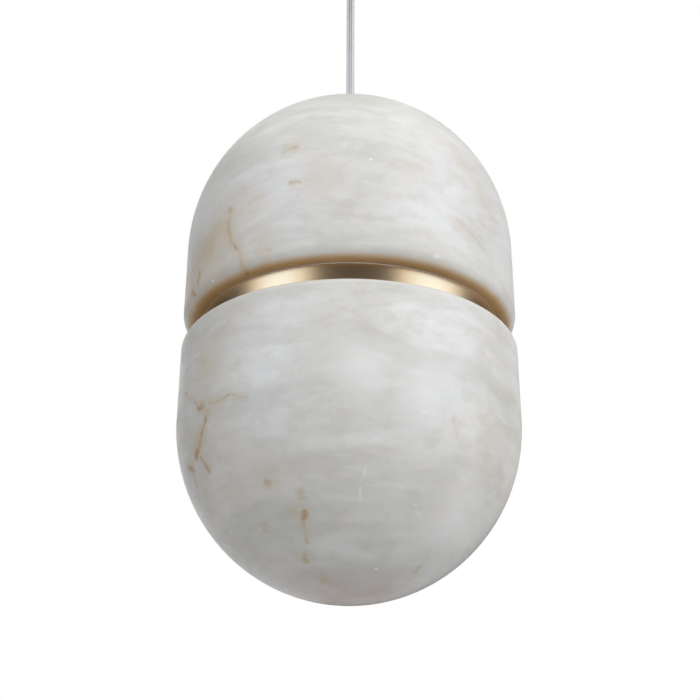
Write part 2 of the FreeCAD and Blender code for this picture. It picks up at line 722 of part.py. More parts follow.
def grip_parts(owner, pivot, lift):
    """The cap with its bell mouth, the insert and the clamped cable end on one side of a pivot."""
    sign = "" if lift > 0 else "- "
    mouth = sign + "mouth_depth"
    end = ("- " if lift > 0 else "") + "pivot_space"
    far = end + (" - " if lift > 0 else " + ") + "insert_tall"
    cap = turned(owner + "_cap", pivot, [
        ("mouth_throat", end),
        ("grip_radius", end),
        ("grip_radius", "0"),
        ("grip_lip", mouth),
        ("mouth_radius", mouth),
        ("mouth_throat", "0"),
    ])
    round_rims(cap, "band_edge", [("grip_radius", "0"), ("grip_lip", mouth)])
    ring(owner + "_insert", pivot, "cord_radius", "insert_radius", far, end)
    return end, far


def make_grips():
    """The grip over the dome, which lets the pendant turn, and the outlet grip of the rose."""
    end, far = grip_parts("dome_grip", "lower_pivot", 1)
    cup = turned("dome_grip_cup", "lower_pivot", [
        ("cup_bore", "cup_bottom"),
        ("grip_radius", "cup_bottom"),
        ("grip_radius", end),
        ("insert_radius", end),
        ("insert_radius", "cup_floor"),
        ("cup_bore", "cup_floor"),
    ])
    round_rims(cup, "band_edge", [("grip_radius", "cup_bottom")])
    ring("dome_grip_tail", "lower_pivot", "0", "cord_radius", far, end)
    ring("swivel_nut", "lower_pivot", "tube_radius", "swivel_radius", "swivel_bottom",
         "rim_level + tube_top - lower_pivot")

    end, far = grip_parts("rose_grip", "upper_pivot", -1)
    body = turned("rose_grip_body", "upper_pivot", [
        ("insert_radius", end),
        ("grip_radius", end),
        ("grip_radius", "rose_bottom - upper_pivot"),
        ("tube_radius", "rose_bottom - upper_pivot"),
        ("tube_radius", "outlet_shank_top"),
        ("tube_bore", "outlet_shank_top"),
        ("tube_bore", far),
        ("insert_radius", far),
    ])
    round_rims(body, "band_edge", [("grip_radius", "rose_bottom - upper_pivot")])
    ring("cord_tail", "upper_pivot", "0", "cord_radius", end, "tail_top")
    hex_nut("rose_grip_nut", "rose_bottom", "rose_wall", "outlet_nut_tall")
    ring("strain_wire_clamp", "0", "0", "clamp_radius", "upper_pivot + tail_top", "- plate_thick")


# ---- the rose on the ceiling ----

def make_rose_plate():
    """The plate that is screwed to the ceiling."""
    body = new_body("mounting_plate")
    disc = new_sketch(body, "XY_Plane", "- plate_thick")
    draw_circle(disc, "plate_radius")
    pad(body, disc, "plate_thick")
    openings = new_sketch(body, "XY_Plane")
    for side in ("", "- "):
        draw_slot(openings, side + "slot_reach", "slot_long", "slot_radius")
        draw_circle(openings, "small_screw", side + "driver_screw_reach",
                    "driver_near + driver_wide / 2")
    draw_circle(openings, "supply_radius", "0", "- supply_reach")
    draw_rivets(openings, "rivet_radius")
    pocket(body, openings)


def draw_rivets(sketch, radius):
    """Circles at the four rivets of the brackets."""
    for across in ("", "- "):
        for up in ("", "- "):
            draw_circle(sketch, radius, across + "rivet_reach", up + "rivet_side")


def make_brackets():
    """Two angle brackets under the plate for the cover's screws, and their rivets."""
    body = new_body("cover_brackets")
    feet = new_sketch(body, "XY_Plane", "- plate_thick")
    uprights = new_sketch(body, "XY_Plane", "- plate_thick")
    for side in ("", "- "):
        outer = side + "tab_outer"
        draw_rectangle(feet, side + "tab_foot", outer, "- tab_foot_half", "tab_foot_half")
        draw_rectangle(uprights, side + "( tab_outer - tab_thick )", outer, "- tab_half", "tab_half")
    pad(body, feet, "tab_thick", reverse=True)
    pad(body, uprights, "tab_drop - plate_thick", reverse=True)
    thread = new_sketch(body, "YZ_Plane")
    draw_circle(thread, "screw_radius", "0", "cover_screw_level")
    pocket(body, thread)
    holes = new_sketch(body, "XY_Plane")
    draw_rivets(holes, "rivet_radius")
    pocket(body, holes)

    rivets = new_body("bracket_rivets")
    shanks = new_sketch(rivets, "XY_Plane")
    draw_rivets(shanks, "rivet_radius")
    pad(rivets, shanks, "plate_thick + tab_thick", reverse=True)
    heads = new_sketch(rivets, "XY_Plane", "- plate_thick - tab_thick")
    draw_rivets(heads, "rivet_head")
    pad(rivets, heads, "rivet_head_tall", reverse=True)


def draw_slot(sketch, middle, length, radius):
    """A slot along X with round ends, its middle on the X axis."""
    first = sketch.GeometryCount
    left = "%s - %s / 2" % (middle, length)
    right = "%s + %s / 2" % (middle, length)
    size = number(radius)
    ends = [V(number(left), 0, 0), V(number(right), 0, 0)]
    rise = V(0, size, 0)
    normal = V(0, 0, 1)
    quarter = math.pi / 2
    sketch.addGeometry(Part.LineSegment(ends[0] - rise, ends[1] - rise), False)
    sketch.addGeometry(Part.ArcOfCircle(Part.Circle(ends[1], normal, size), -quarter, quarter), False)
    sketch.addGeometry(Part.LineSegment(ends[1] + rise, ends[0] + rise), False)
    sketch.addGeometry(Part.ArcOfCircle(Part.Circle(ends[0], normal, size), quarter, 3 * quarter), False)
    tie(sketch, first, 2, first + 1, 1)
    tie(sketch, first + 1, 2, first + 2, 1)
    tie(sketch, first + 2, 2, first + 3, 1)
    tie(sketch, first + 3, 2, first, 1)
    bind_point(sketch, first, 1, left, "- " + radius)
    bind_point(sketch, first, 2, right, "- " + radius)
    bind_point(sketch, first + 2, 1, right, radius)
    bind_point(sketch, first + 2, 2, left, radius)
    bind_value(sketch, "DistanceX", (first + 1, 3), right)
    bind_value(sketch, "DistanceX", (first + 3, 3), left)


def make_rose_cover():
    """The cover: a shallow round pan with a rounded lower edge, and its two side screws."""
    body = turned("rose_cover", "0", [
        ("tube_radius", "rose_bottom"),
        ("rose_radius", "rose_bottom"),
        ("rose_radius", "rose_top"),
        ("rose_radius - rose_wall", "rose_top"),
        ("rose_radius - rose_wall", "rose_bottom + rose_wall"),
        ("tube_radius", "rose_bottom + rose_wall"),
    ])
    round_rims(body, "rose_round", [("rose_radius", "rose_bottom")])
    round_rims(body, "rose_round - rose_wall",
               [("rose_radius - rose_wall", "rose_bottom + rose_wall")])
    hole = new_sketch(body, "YZ_Plane")
    draw_circle(hole, "screw_radius", "0", "cover_screw_level")
    pocket(body, hole)

    screw = new_body("cover_screws")
    shank_sketch = new_sketch(screw, "YZ_Plane", "tab_outer - tab_thick")
    draw_circle(shank_sketch, "screw_radius", "0", "cover_screw_level")
    shank = pad(screw, shank_sketch, "rose_radius - tab_outer + tab_thick")
    head_sketch = new_sketch(screw, "YZ_Plane", "rose_radius")
    draw_circle(head_sketch, "screw_head", "0", "cover_screw_level")
    head = pad(screw, head_sketch, "screw_head_tall")
    polar(screw, [shank, head], "cover_screw_count")


def make_driver():
    """The lamp driver, with an ear and a screw at each end."""
    body = new_body("lamp_driver", "- plate_thick")
    box = new_sketch(body, "XY_Plane")
    draw_rectangle(box, "- driver_long / 2", "driver_long / 2",
                   "driver_near", "driver_near + driver_wide")
    pad(body, box, "driver_tall", reverse=True)
    middle = "driver_near + driver_wide / 2"
    ears = new_sketch(body, "XY_Plane")
    draw_rectangle(ears, "- driver_long / 2 - driver_ear", "driver_long / 2 + driver_ear",
                   middle + " - driver_ear_half", middle + " + driver_ear_half")
    pad(body, ears, "driver_ear_thick", reverse=True)
    holes = new_sketch(body, "XY_Plane")
    for side in ("", "- "):
        draw_circle(holes, "small_screw", side + "driver_screw_reach", middle)
    pocket(body, holes)

    screw = new_body("driver_screws", "- plate_thick - driver_ear_thick")
    shanks = new_sketch(screw, "XY_Plane")
    heads = new_sketch(screw, "XY_Plane")
    for side in ("", "- "):
        draw_circle(shanks, "small_screw", side + "driver_screw_reach", middle)
        draw_circle(heads, "small_screw_head", side + "driver_screw_reach", middle)
    pad(screw, shanks, "driver_ear_thick + plate_thick / 2")
    pad(screw, heads, "small_screw_head_tall", reverse=True)


def make_terminal():
    """The mains terminal block, with two poles."""
    body = new_body("mains_terminal", "- plate_thick")
    box = new_sketch(body, "XY_Plane")
    draw_rectangle(box, "- terminal_long / 2", "terminal_long / 2",
                   "- terminal_near - terminal_wide", "- terminal_near")
    pad(body, box, "terminal_tall", reverse=True)
    middle = "- terminal_near - terminal_wide / 2"
    wells = new_sketch(body, "XY_Plane", "- terminal_tall")
    mouths = new_sketch(body, "XZ_Plane")
    for side in ("", "- "):
        across = side + "terminal_pitch / 2"
        draw_circle(wells, "terminal_well", across, middle)
        draw_circle(mouths, "terminal_mouth", across, "- terminal_tall / 2")
    pocket(body, wells, "terminal_well_deep", upward=True)
    pocket(body, mouths)

    screw = new_body("terminal_screws", "- plate_thick")
    shanks = new_sketch(screw, "XY_Plane", "- terminal_tall + terminal_well_deep")
    for side in ("", "- "):
        draw_circle(shanks, "terminal_screw", side + "terminal_pitch / 2", middle)
    pad(screw, shanks, "terminal_well_deep / 2", reverse=True)


def make_rose_leads():
    """The mains leads from the terminal to the driver, and its output leads to the cable."""
    radius = number("lead_radius")
    half_pitch = number("terminal_pitch / 2")
    near = number("driver_near")
    mains_level = number("- plate_thick - terminal_tall / 2")
    output_level = number("output_level")
    block = number("- terminal_near")
    solids = []
    for start, step in ((-half_pitch, 0), (half_pitch, number("mains_step"))):
        turn = number("- terminal_near + mains_straight") + step
        side = number("- mains_side") + step
        solids.append(lead([
            V(start, block, mains_level), V(start, turn, mains_level),
            V(side, turn, mains_level), V(side, near, mains_level),
        ], radius))
    spread = number("output_spread")
    edge = number("cord_radius")
    for start in (-spread, spread):
        solids.append(lead([V(start, edge, output_level), V(start, near, output_level)], radius))
    add_leads("rose_leads", solids, 0)


def make_rose():
    """Everything on the ceiling."""
    make_rose_plate()
    make_brackets()
    make_rose_cover()
    make_driver()
    make_terminal()
    make_rose_leads()


def check_everything():
    """Stop at any object that failed and at any sub-part without a valid solid."""
    doc.recompute()
    for item in doc.Objects:
        for state in item.State:
            if "Invalid" in state or "Error" in state:
                raise RuntimeError("%s failed: %s" % (item.Label, item.State))
    for part in parts:
        shape = part.Shape
        if shape.isNull() or not shape.isValid() or not shape.Solids:
            raise RuntimeError("%s has no valid solid" % part.Label)


def write_parts():
    """One STEP file per sub-part, named by its label."""
    os.makedirs("parts", exist_ok=True)
    for part in parts:
        part.Shape.exportStep("parts/%s.step" % part.Label)
        print("%-20s %3d solids %12.1f mm3" % (part.Label, len(part.Shape.Solids), part.Shape.Volume))


make_rose()
make_cord()
make_grips()
make_hub()
make_carrier()
make_lamps()
make_stone()
make_band()
make_bayonet_ring()
make_collar()
check_everything()
write_parts()
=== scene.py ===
"""The alabaster pendant's looks: stone, brass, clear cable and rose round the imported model."""

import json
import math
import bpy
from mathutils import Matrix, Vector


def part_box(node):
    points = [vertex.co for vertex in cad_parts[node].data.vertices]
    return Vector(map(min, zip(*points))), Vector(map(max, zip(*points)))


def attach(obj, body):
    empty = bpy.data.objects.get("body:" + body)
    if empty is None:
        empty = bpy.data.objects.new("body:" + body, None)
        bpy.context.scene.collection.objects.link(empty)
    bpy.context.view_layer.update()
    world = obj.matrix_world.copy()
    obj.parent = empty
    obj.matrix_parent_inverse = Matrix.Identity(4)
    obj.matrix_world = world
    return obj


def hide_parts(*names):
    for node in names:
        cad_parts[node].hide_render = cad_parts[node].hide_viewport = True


bl_info = {
    "name": "Alabaster pendant",
    "version": (1, 0, 0),
    "blender": (4, 5, 0),
    "location": "View3D > Sidebar > Pendant",
    "description": "Dresses the alabaster pendant and sets up its studio",
    "category": "Object",
}

import bpy
import numpy as np
from bpy.props import FloatProperty, FloatVectorProperty, IntProperty, PointerProperty
from mathutils import Matrix, Vector

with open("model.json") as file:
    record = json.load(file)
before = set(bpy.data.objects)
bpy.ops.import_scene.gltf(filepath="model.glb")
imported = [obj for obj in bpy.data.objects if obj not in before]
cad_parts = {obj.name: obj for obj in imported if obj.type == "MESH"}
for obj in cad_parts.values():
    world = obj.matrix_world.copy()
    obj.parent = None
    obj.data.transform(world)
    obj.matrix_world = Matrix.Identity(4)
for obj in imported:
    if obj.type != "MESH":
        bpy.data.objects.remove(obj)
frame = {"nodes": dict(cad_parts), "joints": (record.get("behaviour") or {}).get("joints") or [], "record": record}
bpy.context.view_layer.update()

# Where the CAD says things are: metres, Z up, the origin on the ceiling over the cable.
DOME_LOW, DOME_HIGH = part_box("upper_dome")
BOWL_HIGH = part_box("lower_bowl")[1]
BAND_LOW, BAND_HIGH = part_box("brass_band")
STONE_RADIUS = BOWL_HIGH.x
DOME_RIM = DOME_LOW.z
BOWL_RIM = BOWL_HIGH.z
BAND_THICK = 0.003
JOINT_AT = {joint["name"]: joint.get("pos_m") for joint in frame["joints"]}
SWING_LEVEL = JOINT_AT["cord_swing"][2]
TILT_LEVEL = JOINT_AT["pendant_tilt"][2]

MILLIMETRE = 0.001
# The lamps point at the middle of the pendant. The cards stand upright round it, from a radius
# and between two heights over and under its middle.
STUDIO_MIDDLE = Vector((0, 0, -0.37))
CARD_RADIUS = 1.25
CARD_LOW, CARD_HIGH = -0.35, 1.6
# Starts and ends of the cards and cloths, in degrees to the right of the camera
CLOTHS = {"cloth_front": (-27, 34), "cloth_left": (-140, -75), "cloth_right": (87, 132),
          "cloth_back": (150, 185)}
CARDS = {"card_left": (-75, -27), "card_right": (34, 87)}
CARD_EDGE = (1.25, 1.18, 1.1)


def linear(red, green, blue):
    """A colour given in display values from 0 to 255, as the linear values that the nodes take."""
    shown = np.array((red, green, blue)) / 255
    return tuple(np.where(shown > 0.04045, ((shown + 0.055) / 1.055) ** 2.4, shown / 12.92))


# ---- what a user would change ----

def length(name, description, default):
    """A length in metres."""
    return FloatProperty(name=name, description=description, default=default, unit="LENGTH",
                         subtype="DISTANCE", precision=4)


def share(name, description, default):
    """A number from 0 to 1."""
    return FloatProperty(name=name, description=description, default=default, min=0, max=1,
                         subtype="FACTOR")


def colour(name, description, default):
    """A colour in linear values."""
    return FloatVectorProperty(name=name, description=description, default=default, min=0, max=1,
                               subtype="COLOR", size=3)


class PendantStone(bpy.types.PropertyGroup):
    """Sizes and colours of the two stone halves."""

    wall: length("Wall", "Stone thickness at the straight walls", 0.012)
    crown_wall: length("Crown", "Stone thickness at the middle of a cap", 0.010)
    dome_straight: length("Dome wall", "Height of the dome's straight wall", 0.056)
    dome_cap: length("Dome cap", "Rise of the dome's cap", 0.114)
    dome_round: length("Dome rim", "Rounding of the dome's outer rim", 0.0087)
    dome_flat: length("Dome flat", "Radius of the flat ground on the dome", 0.0146)
    dome_hole: length("Dome hole", "Radius of the hole through the crown", 0.006)
    crown_seat: length("Crown seat", "Radius of the seat ground inside the crown", 0.0185)
    bowl_straight: length("Bowl wall", "Height of the bowl's straight wall", 0.0518)
    bowl_cap: length("Bowl cap", "Depth of the bowl's cap", 0.1119)
    bowl_round: length("Bowl rim", "Rounding of the bowl's outer rim", 0.005)
    inner_round: length("Inner edges", "Rounding of the inner edges", 0.0008)
    milk: colour("Milk", "Colour of the white clouds", linear(240, 239, 237))
    haze: colour("Haze", "Colour of the grey, clearer stone between them", linear(226, 226, 222))
    wisp: colour("Wisps", "Colour of the white wisps", linear(250, 250, 250))
    smoke: colour("Smoke", "Colour of the darker smudges", linear(212, 209, 199))
    sand: colour("Sand", "Colour of the broad beige stains", linear(222, 204, 172))
    rust: colour("Rust", "Colour of the thin veins", linear(190, 156, 98))
    # Pinkish, darker clouds: partly the stone's tint and partly painted shade, strongest low on the bowl.
    blush_and_painted_shade: colour("Blush", "Colour of the pinkish clouds", linear(216, 198, 188))
    # Glow is a painted warm reflection of the brass on the stone's rim; rim shade is painted shade under that rim,
    # darkest at the rim.
    glow: colour("Glow", "Colour of the rim beside the brass", linear(235, 205, 160))
    shade: colour("Rim shade", "Colour of the rim's underside over the brass",
                  linear(186, 150, 112))
    layer_tilt: FloatProperty(name="Layer tilt", description="Slope of the stone's layers",
                              default=math.radians(6), unit="ROTATION", subtype="ANGLE")


class PendantBrass(bpy.types.PropertyGroup):
    """Colours and finish of the brass."""

    gold: colour("Brass", "Colour of the satin brass", linear(236, 200, 148))
    tarnish: colour("Tarnish", "Colour of its duller clouds", linear(227, 189, 135))
    satin: share("Satin", "Roughness of the brushed brass", 0.095)
    edge: length("Edges", "Rounding of turned edges", 0.0006)


class PendantCable(bpy.types.PropertyGroup):
    """The clear cable and what lies in it."""

    diameter: length("Cable", "Outer diameter of the clear jacket", 0.006)
    core: length("Core", "Diameter of a tinned core", 0.0011)
    core_gap: length("Core distance", "Distance between the two cores", 0.0016)
    core_forward: length("Core place", "How far the cores lie before the middle", 0.0004)
    wire: length("Steel wire", "Diameter of the steel wire", 0.001)
    wire_back: length("Wire place", "How far the steel wire lies behind the middle", 0.0011)
    strands: IntProperty(name="Strands", description="Outer strands of a core", default=6, min=3)
    lay: length("Lay", "Length of one turn of the strands", 0.011)
    clear: colour("Jacket", "Tint of the clear jacket", linear(226, 230, 238))
    tin: colour("Tin", "Colour of the tinned strands", linear(212, 214, 222))
    # Painted shade and dark reflection on the strands near the rose, not a colour of the tin.
    painted_shade_tin: colour("Old tin", "Colour of the strands near the rose", linear(40, 44, 58))


class PendantStudio(bpy.types.PropertyGroup):
    """The camera and the light round the pendant."""

    lens: FloatProperty(name="Lens", description="Focal length", default=62.455, unit="CAMERA")
    elevation: FloatProperty(name="Elevation", description="Height of the camera over the horizon",
                             default=math.radians(-25), unit="ROTATION", subtype="ANGLE")
    distance: length("Distance", "From the camera to what it looks at", 0.8037)
    look_level: length("Look at", "Level that the camera looks at", -0.3759)
    look_side: length("Side", "How far the camera stands to the right", 0.0004)
    roll: FloatProperty(name="Roll", description="Lean of the camera", default=math.radians(0.18),
                        unit="ROTATION", subtype="ANGLE")
    floor_level: length("Floor", "Level of the floor", -1.10)
    room_light: share("Room light", "Even light that falls on the pendant", 0.28)
    right_power: FloatProperty(name="Right lamp", description="Power of the right softbox",
                               default=16.5, unit="POWER")
    left_power: FloatProperty(name="Left lamp", description="Power of the left softbox",
                              default=6.0, unit="POWER")
    top_power: FloatProperty(name="Top lamp", description="Power of the softbox above",
                             default=6.5, unit="POWER")
    cloth: colour("Cloth", "Shine of the dark cloths in the brass", linear(30, 0, 0))
    card: FloatVectorProperty(name="Cards", description="Shine of the white cards in the brass",
                              default=(1.6, 2.0, 2.7), min=0, max=3, subtype="COLOR", size=3)


# ---- surfaces ----

def new_object(name, data):
    """A new object in the scene."""
    made = bpy.data.objects.new(name, data)
    bpy.context.scene.collection.objects.link(made)
    return made


def mesh_object(name, vertices, faces, body):
    """A new smooth piece with its place in its mesh, riding on a body of the frame."""
    mesh = bpy.data.meshes.new(name)
    mesh.from_pydata(vertices, [], faces)
    mesh.polygons.foreach_set("use_smooth", np.ones(len(mesh.polygons), bool))
    mesh.update()
    piece = new_object(name, mesh)
    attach(piece, body)
    return piece


def quads_between(rows, columns, first=0, ring=True):
    """Quads of a grid of vertices: row i column j joins the next row and the next column. Its
    columns close to a ring."""
    row = np.arange(rows - 1)[:, None] * columns
    here = np.arange(columns)[None, :]
    after = (here + 1) % columns if ring else here[:, :-1] + 1
    here = here if ring else here[:, :-1]
    corners = (row + here, row + after, row + columns + after, row + columns + here)
    return first + np.stack(corners, -1).reshape(-1, 4)


def revolved(profile, columns, relief=None):
    """Vertices and faces of a profile of (radius, level) turned once round the vertical axis:
    the point at azimuth a is (radius cos a, radius sin a, level). The solid lies on the left of
    the profile's way. It closes on itself, or starts and ends on the axis, where a fan closes
    it. The relief is added to the radius, as a function of radius, level and azimuth."""
    on_axis = profile[0, 0] == 0
    body = profile[1:-1] if on_axis else np.vstack((profile, profile[:1]))
    azimuth = np.linspace(0, 2 * math.pi, columns, endpoint=False)[None, :]
    radius = body[:, :1] + np.zeros_like(azimuth)
    level = body[:, 1:] + np.zeros_like(azimuth)
    if relief is not None:
        radius = radius + relief(radius, level, azimuth)
    grid = np.stack((radius * np.cos(azimuth), radius * np.sin(azimuth), level), -1)
    rows = len(body)
    if not on_axis:
        faces = quads_between(rows, columns) % ((rows - 1) * columns)
        return grid[:-1].reshape(-1, 3), faces.tolist()
    poles = np.array(((0, 0, profile[0, 1]), (0, 0, profile[-1, 1])))
    vertices = np.vstack((grid.reshape(-1, 3), poles))
    here = np.arange(columns)
    after = (here + 1) % columns
    last = (rows - 1) * columns
    first_pole = rows * columns
    start = np.stack((np.full(columns, first_pole), after, here), -1)
    end = np.stack((last + here, last + after, np.full(columns, first_pole + 1)), -1)
    return vertices, quads_between(rows, columns).tolist() + start.tolist() + end.tolist()


def arc(middle, radii, start, end, steps):
    """Points on an ellipse's arc: middle + (radii x cos t, radii y sin t), t in degrees."""
    t = np.radians(np.linspace(start, end, steps + 1))
    return np.stack((middle[0] + radii[0] * np.cos(t), middle[1] + radii[1] * np.sin(t)), -1)


def rounded(corners, steps=5):
    """An outline of straight lines through corners of (radius, level, rounding): each rounding
    is an arc that touches both lines, with a guard point beside it that keeps the line flat."""
    points = []
    for index, (across, up, rounding) in enumerate(corners):
        here = np.array((across, up))
        if rounding == 0:
            points.append(here[None])
            continue
        before = np.array(corners[index - 1][:2]) - here
        after = np.array(corners[(index + 1) % len(corners)][:2]) - here
        before = before / np.linalg.norm(before)
        after = after / np.linalg.norm(after)
        half = math.acos(before @ after) / 2
        reach = rounding / math.tan(half)
        inward = (before + after) / np.linalg.norm(before + after)
        middle = here + inward * rounding / math.sin(half)
        turn = math.pi - 2 * half
        t = np.linspace(0, 1, steps + 1)[:, None]
        start = here + before * reach - middle
        end = here + after * reach - middle
        bow = middle + (start * np.sin((1 - t) * turn) + end * np.sin(t * turn)) / math.sin(turn)
        guard = rounding * 0.35
        points += [bow[:1] + before * guard, bow, bow[-1:] + after * guard]
    return np.vstack(points)


def turned(name, body, profile, columns=192, relief=None):
    """A turned piece."""
    vertices, faces = revolved(profile, columns, relief)
    return mesh_object(name, vertices, faces, body)


def swept(path, across, radius, sides, first=0):
    """A round tube along points: at each point a ring of the radius across the tangent, in the
    plane of the two cross directions. Returns its vertices and faces, its ends closed."""
    tangent = np.gradient(path, axis=0)
    tangent /= np.linalg.norm(tangent, axis=1)[:, None]
    side = across - (tangent @ across)[:, None] * tangent
    side /= np.linalg.norm(side, axis=1)[:, None]
    other = np.cross(tangent, side)
    angle = np.linspace(0, 2 * math.pi, sides, endpoint=False)
    ring = (side[:, None] * np.cos(angle)[None, :, None]
            + other[:, None] * np.sin(angle)[None, :, None])
    vertices = (path[:, None] + radius * ring).reshape(-1, 3)
    faces = quads_between(len(path), sides, first).tolist()
    faces.append((first + np.arange(sides)[::-1]).tolist())
    faces.append((first + (len(path) - 1) * sides + np.arange(sides)).tolist())
    return vertices, faces


# ---- nodes ----

class Nodes:
    """Adds nodes to a tree. Each function returns the new node's output, and takes numbers,
    colours or other nodes' outputs."""

    def __init__(self, tree):
        self.tree = tree

    def node(self, kind, inputs=(), **settings):
        """A node with its settings, and its inputs given as pairs of socket and value."""
        made = self.tree.nodes.new(kind)
        for key, value in settings.items():
            setattr(made, key, value)
        for socket, value in inputs:
            if isinstance(value, bpy.types.NodeSocket):
                self.tree.links.new(value, made.inputs[socket])
            elif value is not None:
                made.inputs[socket].default_value = value
        return made

    def place(self):
        """The point on the piece, in metres."""
        return self.node("ShaderNodeTexCoord").outputs["Object"]

    def split(self, vector):
        """The three parts of a vector."""
        return self.node("ShaderNodeSeparateXYZ", [(0, vector)]).outputs

    def join(self, x, y, z):
        """A vector of three parts."""
        return self.node("ShaderNodeCombineXYZ", [(0, x), (1, y), (2, z)]).outputs[0]

    def mapping(self, vector, scale=(1, 1, 1), turn=(0, 0, 0), move=(0, 0, 0)):
        """The vector scaled, then turned, then moved."""
        inputs = [("Vector", vector), ("Location", move), ("Rotation", turn), ("Scale", scale)]
        return self.node("ShaderNodeMapping", inputs).outputs[0]

    def calc(self, operation, first, second=None, third=None, clamp=False):
        """A sum on numbers."""
        inputs = [(0, first), (1, second), (2, third)]
        return self.node("ShaderNodeMath", inputs, operation=operation, use_clamp=clamp).outputs[0]

    def flat_length(self, x, y):
        """The length of a level vector."""
        squares = (self.calc("MULTIPLY", part, part) for part in (x, y))
        return self.calc("SQRT", self.calc("ADD", *squares))

    def vector_calc(self, operation, first, second=None):
        """A sum on vectors. Lengths and dot products are numbers."""
        made = self.node("ShaderNodeVectorMath", [(0, first), (1, second)], operation=operation)
        return made.outputs["Value" if operation in ("LENGTH", "DOT_PRODUCT") else "Vector"]

    def scaled(self, vector, factor):
        """The vector times a number."""
        inputs = [(0, vector), ("Scale", factor)]
        return self.node("ShaderNodeVectorMath", inputs, operation="SCALE").outputs["Vector"]

    def noise(self, vector, scale, detail=3, rough=0.55, warp=0.0, part="Fac"):
        """Cloudy noise, its scale in waves per metre."""
        inputs = [("Vector", vector), ("Scale", scale), ("Detail", detail),
                  ("Roughness", rough), ("Distortion", warp)]
        return self.node("ShaderNodeTexNoise", inputs).outputs[part]

    def cells(self, vector, scale, feature="F1", part="Distance"):
        """Cells, their scale in cells per metre."""
        inputs = [("Vector", vector), ("Scale", scale)]
        return self.node("ShaderNodeTexVoronoi", inputs, feature=feature).outputs[part]

    def between(self, value, low, high, start=0.0, end=1.0, smooth=True):
        """The value's way from low to high, as one from start to end, and no further."""
        inputs = [("Value", value), ("From Min", low), ("From Max", high), ("To Min", start),
                  ("To Max", end)]
        kind = "SMOOTHSTEP" if smooth else "LINEAR"
        return self.node("ShaderNodeMapRange", inputs, interpolation_type=kind).outputs[0]

    def blend(self, share, first, second, kind="MIX"):
        """A colour between two others."""
        made = self.node("ShaderNodeMix", data_type="RGBA", blend_type=kind, clamp_factor=True)
        for socket, value in zip((0, 6, 7), (share, first, second)):
            if isinstance(value, bpy.types.NodeSocket):
                self.tree.links.new(value, made.inputs[socket])
            else:
                made.inputs[socket].default_value = value if socket == 0 else (*value[:3], 1)
        return made.outputs[2]

    def bump(self, height, distance, strength=1.0):
        """A normal from a height, whose whole range is the distance in metres."""
        inputs = [("Strength", strength), ("Distance", distance), ("Height", height)]
        return self.node("ShaderNodeBump", inputs).outputs[0]


def finish(name, settings, build):
    """A material: a shader with its constant settings, and linked inputs that build returns."""
    material = bpy.data.materials.new(name)
    material.use_nodes = True
    shader = material.node_tree.nodes["Principled BSDF"]
    for socket, value in settings.items():
        shader.inputs[socket].default_value = value
    for socket, output in build(Nodes(material.node_tree)).items():
        material.node_tree.links.new(output, shader.inputs[socket])
    return material


def wear(piece, material):
    """Give a piece its material."""
    piece.data.materials.clear()
    piece.data.materials.append(material)


# ---- alabaster ----

def stone_point(azimuth, level):
    """The point on the stone's outside at an azimuth in degrees and a level in millimetres from
    the ceiling, and the way out of the stone there."""
    stone = bpy.context.scene.pendant_stone
    height = level * MILLIMETRE
    if height > DOME_RIM:
        along, straight, cap, side = height - DOME_RIM, stone.dome_straight, stone.dome_cap, 1
    else:
        along, straight, cap, side = BOWL_RIM - height, stone.bowl_straight, stone.bowl_cap, -1
    rise = min(max(0.0, along - straight) / cap, 0.999)
    radius = STONE_RADIUS * math.sqrt(1 - rise * rise)
    angle = math.radians(azimuth)
    out = Vector((math.cos(angle) * radius / STONE_RADIUS, math.sin(angle) * radius / STONE_RADIUS,
                  side * rise * STONE_RADIUS / cap))
    return Vector((radius * math.cos(angle), radius * math.sin(angle), height)), out.normalized()


def away_from_line(n, place, start, end):
    """The distance to the plane through both ends and the way out of the stone, and the
    distance to their middle, and half their length."""
    first, first_out = stone_point(*start)
    last, last_out = stone_point(*end)
    across = (last - first).cross(first_out + last_out).normalized()
    offset = n.vector_calc("SUBTRACT", place, tuple((first + last) / 2))
    away = n.calc("ABSOLUTE", n.vector_calc("DOT_PRODUCT", offset, tuple(across)))
    return away, n.vector_calc("LENGTH", offset), (last - first).length / 2


def vein(n, place, start, end, width, strength):
    """A vein is a thin sheet through the stone that shows as a line where it meets the surface.
    It is gone a little past its width from its line, and a little past its ends."""
    away, from_middle, reach = away_from_line(n, place, start, end)
    line = n.between(away, 0.0, width * 1.25 * MILLIMETRE, strength, 0.0)
    ends = n.between(from_middle, reach * 0.8, reach * 1.1 + 0.001, 1.0, 0.0)
    return n.calc("MULTIPLY", line, ends)


def streak(n, place, start, end, width, strength):
    """A streak is a leaf of milkier stone: full along its line, and thinner towards its ends."""
    away, from_middle, reach = away_from_line(n, place, start, end)
    taper = n.between(from_middle, 0.0, reach * 1.15, 1.0, 0.0, False)
    leaf = n.calc("SUBTRACT", taper, n.calc("DIVIDE", away, width * MILLIMETRE))
    return n.between(leaf, 0.0, 0.6, 0.0, strength)


def cloud(n, place, spot, size, strength):
    """A soft cloud round a point."""
    middle = stone_point(*spot)[0]
    away = n.vector_calc("LENGTH", n.vector_calc("SUBTRACT", place, tuple(middle)))
    return n.between(away, 0.0, size * MILLIMETRE, strength, 0.0)


def together(n, parts):
    """The parts laid over each other: the strongest counts."""
    whole = parts[0]
    for part in parts[1:]:
        whole = n.calc("MAXIMUM", whole, part)
    return whole
